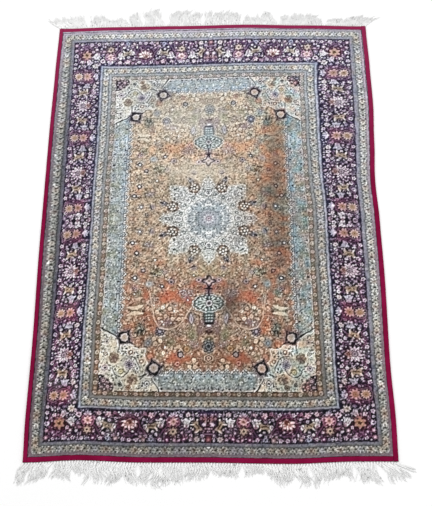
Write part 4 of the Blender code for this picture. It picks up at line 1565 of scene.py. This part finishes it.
def make_binding(edge, material):
    """A binding of overcast yarn: ribs round a padded edge."""
    outer, inner = binding_edges(edge)
    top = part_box(f"binding_{edge}")[1].z
    length = outer[-1, 0] - outer[0, 0]
    turns = int(length / WRAP_PITCH)
    share = np.linspace(0, 1, 2 * turns + 1)
    place_out = outer[0, 0] + (outer[-1, 0] - outer[0, 0]) * share
    place_in = inner[0, 0] + (inner[-1, 0] - inner[0, 0]) * share
    out, into = np.interp(place_out, *outer.T), np.interp(place_in, *inner.T)
    crest = np.where(np.arange(len(share)) % 2 == 1, 0.0, -1.0) * WRAP_DEPTH
    rng = random.Random(edge)
    crest = crest * np.array([rng.uniform(0.6, 1.2) for _ in share])
    rings = []
    for number, (across, up) in enumerate(BINDING_PROFILE):
        lean = WRAP_SLANT * (number / (len(BINDING_PROFILE) - 1) - 0.5)
        along = place_out + (place_in - place_out) * across
        along = along + lean * np.sin(np.pi * np.clip(share * 40, 0, 0.5))
        squeeze = crest * (1.0 if 0 < number < len(BINDING_PROFILE) - 1 else 0.3)
        away = np.clip(across * 2 - 1, -1, 1)
        side = out + (into - out) * across + squeeze * (-away) * np.sign(out) * (abs(away) ** 2)
        height = np.maximum(top * up + squeeze * (1 - abs(away) ** 3), 0.0002)
        x, y = (side, along) if edge in ("left", "right") else (along, side)
        rings.append(np.stack([x, y, height + rise(x, y)], -1))
    points = np.stack(rings, 1)
    faces = grid_faces(len(share), len(BINDING_PROFILE), wrap=True)
    if edge in ("right", "near"):
        faces = faces[:, ::-1]
    piece = add_piece(f"overcast_{edge}", points.reshape(-1, 3), faces, material)
    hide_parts(f"binding_{edge}")
    return piece


# ------------------------------------------------------------------ fringes
# The locks follow the same tables as the model's, rows of: place from the left corner, length, lean.

NEAR_FRINGE = (
    "0 0.076 -0.46/0.06 0.074 -0.5/0.11 0.054 -0.46/0.17 0.072 -0.1/0.22 0.042 0.05/0.25 0.08 0.08/"
    "0.4 0.074 0.04/0.48 0.086 0/0.6 0.072 0.05/0.71 0.05 0.08/0.8 0.052 -0.05/0.87 0.036 0/"
    "0.96 0.074 0.05/1.08 0.08 0/1.2 0.052 0.12/1.25 0.078 0.2/1.33 0.078 0.36/1.37 0.06 0.95/"
    "1.4 0.028 2.5"
)
FAR_FRINGE = (
    "0 0.05 -1.15/0.05 0.066 -0.7/0.12 0.072 -0.25/0.2 0.068 -0.05/0.24 0.042 -0.15/0.32 0.06 -0.2/"
    "0.36 0.08 -0.08/0.43 0.094 0.05/0.55 0.087 0.12/0.68 0.085 0.15/0.77 0.082 0.28/0.83 0.052 0.35/"
    "0.88 0.046 0.36/0.93 0.084 0.38/0.98 0.056 0.42/1.12 0.07 0.44/1.19 0.042 0.45/1.27 0.044 0.5/"
    "1.34 0.062 0.8/1.4 0.05 1.55"
)
LOCKS = 130
KNOT_DEPTH = 0.007
KNOT_RADIUS = 0.0030
YARNS_PER_LOCK = 7
YARN_STATIONS, YARN_SIDES = 12, 4
YARN_RADIUS = 0.0010
CLUMP_CLOSING = 0.05  # how much the locks of one clump lean together
FRINGE_INSET = 0.004  # from the rug's side to its first lock
KNOT_SIDES = 6


def table_at(rows, place, column):
    """The table's value at a place, eased from row to row."""
    for low, high in zip(rows, rows[1:]):
        if place <= high[0]:
            t = min(max((place - low[0]) / (high[0] - low[0]), 0), 1)
            return low[column] + (high[column] - low[column]) * t * t * (3 - 2 * t)
    return rows[-1][column]


def white_cotton():
    """Undyed cotton yarn: matte, twisted, greyed by dust, with painted shade on its lower strands and painted
    shadow specks between the strands.
    """
    surface = Surface("white_cotton")
    twist = surface.noise(700.0, 2.0, (1.0, 0.35, 1.0))
    dust = surface.noise(24.0, 3.0)
    height = surface.add("ShaderNodeSeparateXYZ")
    surface.link(surface.places, height.inputs[0])
    # Painted shade: the lower a strand lies, the darker it is.
    low = surface.remap(height.outputs["Z"], 0.70, 1.0, 0.0, 0.0040)
    # Painted shadows: dark specks where shade falls between the strands.
    shadow_specks = surface.remap(surface.noise(150.0, 3.0, (1.0, 0.45, 1.0), 0.6), 0.35, 1.0, 0.30, 0.41)
    colour = surface.blend(surface.remap(dust, 0.0, 1.0, 0.3, 0.75), (0.97, 0.97, 0.965), (0.90, 0.90, 0.895))
    uneven = surface.remap(twist, 0.90, 1.10, 0.25, 0.75)
    lit = surface.math("MULTIPLY", surface.math("MULTIPLY", low, shadow_specks), uneven)
    colour, normal = surface.scaled(colour, lit), surface.bump(twist, 0.0005, 0.7)
    return surface.finish(colour, surface.remap(twist, 0.8, 0.95), normal, 0.25, (1.0, 1.0, 1.0), 0.15)


class Strands:
    """Many tapering yarns gathered into one mesh."""

    def __init__(self):
        self.points, self.faces, self.count = [], [], 0

    def add(self, path, radii, sides, flat=1.0):
        """One yarn along a path. flat is its height over its width."""
        path, radii = np.asarray(path, float), np.asarray(radii, float)
        ahead = np.gradient(path, axis=0)
        ahead[:, 2] = 0
        ahead /= np.linalg.norm(ahead, axis=1)[:, None] + 1e-12
        across = np.stack([ahead[:, 1], -ahead[:, 0], np.zeros(len(path))], 1)
        angles = np.arange(sides) * math.tau / sides + math.pi / 4
        ring = across[:, None] * np.cos(angles)[None, :, None] * radii[:, None, None]
        ring[..., 2] += np.sin(angles)[None, :] * radii[:, None] * flat
        self.points.append((path[:, None] + ring).reshape(-1, 3))
        faces = grid_faces(len(path), sides, wrap=True) + self.count
        caps = [self.count + np.arange(sides)[::-1], self.count + (len(path) - 1) * sides + np.arange(sides)]
        self.faces.append(np.vstack([faces, np.array(caps)]) if sides == 4 else faces)
        self.count += len(path) * sides


def make_fringe(end, material):
    """Knotted locks of loose yarns along one end."""
    rng = random.Random(f"fringe {end}")
    outwards, rows = (-1, [*rows_of(NEAR_FRINGE)]) if end == "near" else (1, [*rows_of(FAR_FRINGE)])
    outer = binding_edges(end)[0]
    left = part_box("binding_left")[0].x + FRINGE_INSET
    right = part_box("binding_right")[1].x - FRINGE_INSET
    strands = Strands()
    pitch = (right - left) / LOCKS
    shares = np.linspace(0, 1, YARN_STATIONS)
    yarn_radii = YARN_RADIUS * np.interp(shares, (0, 0.6, 0.9, 1), (1.05, 1.0, 0.8, 0.3))
    place_in_clump = clump = 0
    for lock in range(LOCKS):
        if place_in_clump == clump:  # a new clump of locks that lie and wind together
            clump, place_in_clump = rng.randint(3, 7), 0
            slant, start = rng.gauss(0, 0.14), rng.uniform(0, math.tau)
            swerve, winding, lift = rng.uniform(0.003, 0.009), rng.uniform(45, 95), rng.uniform(0, 0.003)
        x0 = left + pitch * (lock + 0.5)
        root = float(np.interp(x0, *outer.T)) + outwards * 0.0006
        place = x0 + HALF_WIDTH * MM
        length = table_at(rows, place, 1) * (1 + rng.uniform(-0.12, 0.12))
        lean = table_at(rows, place, 2) + slant
        lean += CLUMP_CLOSING * ((clump - 1) / 2 - place_in_clump)
        place_in_clump += 1
        # The knot: a fat ball of yarn beside the binding.
        knot_y = root + outwards * KNOT_DEPTH * np.array([0.0, 0.25, 0.6, 1.0, 1.25])
        knot = [(x0, y, KNOT_RADIUS * 0.8) for y in knot_y]
        strands.add(knot, np.array([0.5, 0.95, 1.15, 0.9, 0.5]) * KNOT_RADIUS, KNOT_SIDES, 0.75)
        for yarn in range(YARNS_PER_LOCK):
            side = (yarn - (YARNS_PER_LOCK - 1) / 2) / (YARNS_PER_LOCK - 1)
            reach = length * rng.uniform(0.72, 1.06)
            splay = side * rng.uniform(0.02, 0.16) + rng.gauss(0, 0.09)
            phase, swing = rng.uniform(0, math.tau), rng.uniform(0.0008, 0.0032)
            layer = YARN_RADIUS * (1.0 + 1.4 * rng.random() * (1 - abs(side)))
            path = []
            for t in shares:
                out = reach * t
                wave = swerve * (math.sin(start + winding * out) - math.sin(start))
                spread = side * pitch * (0.55 + 0.25 * math.sin(math.pi * t))
                curl = swing * (math.sin(phase + 11 * t) - math.sin(phase)) * min(1, 2 * t)
                x = x0 + lean * out + wave + spread + splay * out * t + curl
                y = root + outwards * (0.004 + out)
                arch = (lift + 0.0014 * rng.random()) * math.sin(math.pi * min(t * 1.4, 1))
                path.append((x, y, 0.0004 + layer * (1 - 0.55 * t) + arch))
            strands.add(path, yarn_radii, YARN_SIDES)
    points, faces = np.vstack(strands.points), np.vstack(strands.faces)
    piece = add_piece(f"cotton_fringe_{end}", points, faces, material)
    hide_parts(f"fringe_{end}")
    return piece


# ------------------------------------------------------------------ everything together


def main():
    """The studio, the pattern and then every piece."""
    add_camera()
    add_lights()
    make_floor()
    chart = unfold(draw_quarter())
    draw_near_loops(chart)
    colours = to_linear(worn(dye_colours(chart)))
    strips = make_pile(chart, colours)
    sheet = make_foundation(chart, colours)
    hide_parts("rug_body")
    crimson, cotton = crimson_wool(), white_cotton()
    bindings = [make_binding(edge, crimson) for edge in EDGES]
    fringes = [make_fringe(end, cotton) for end in ("near", "far")]


main()
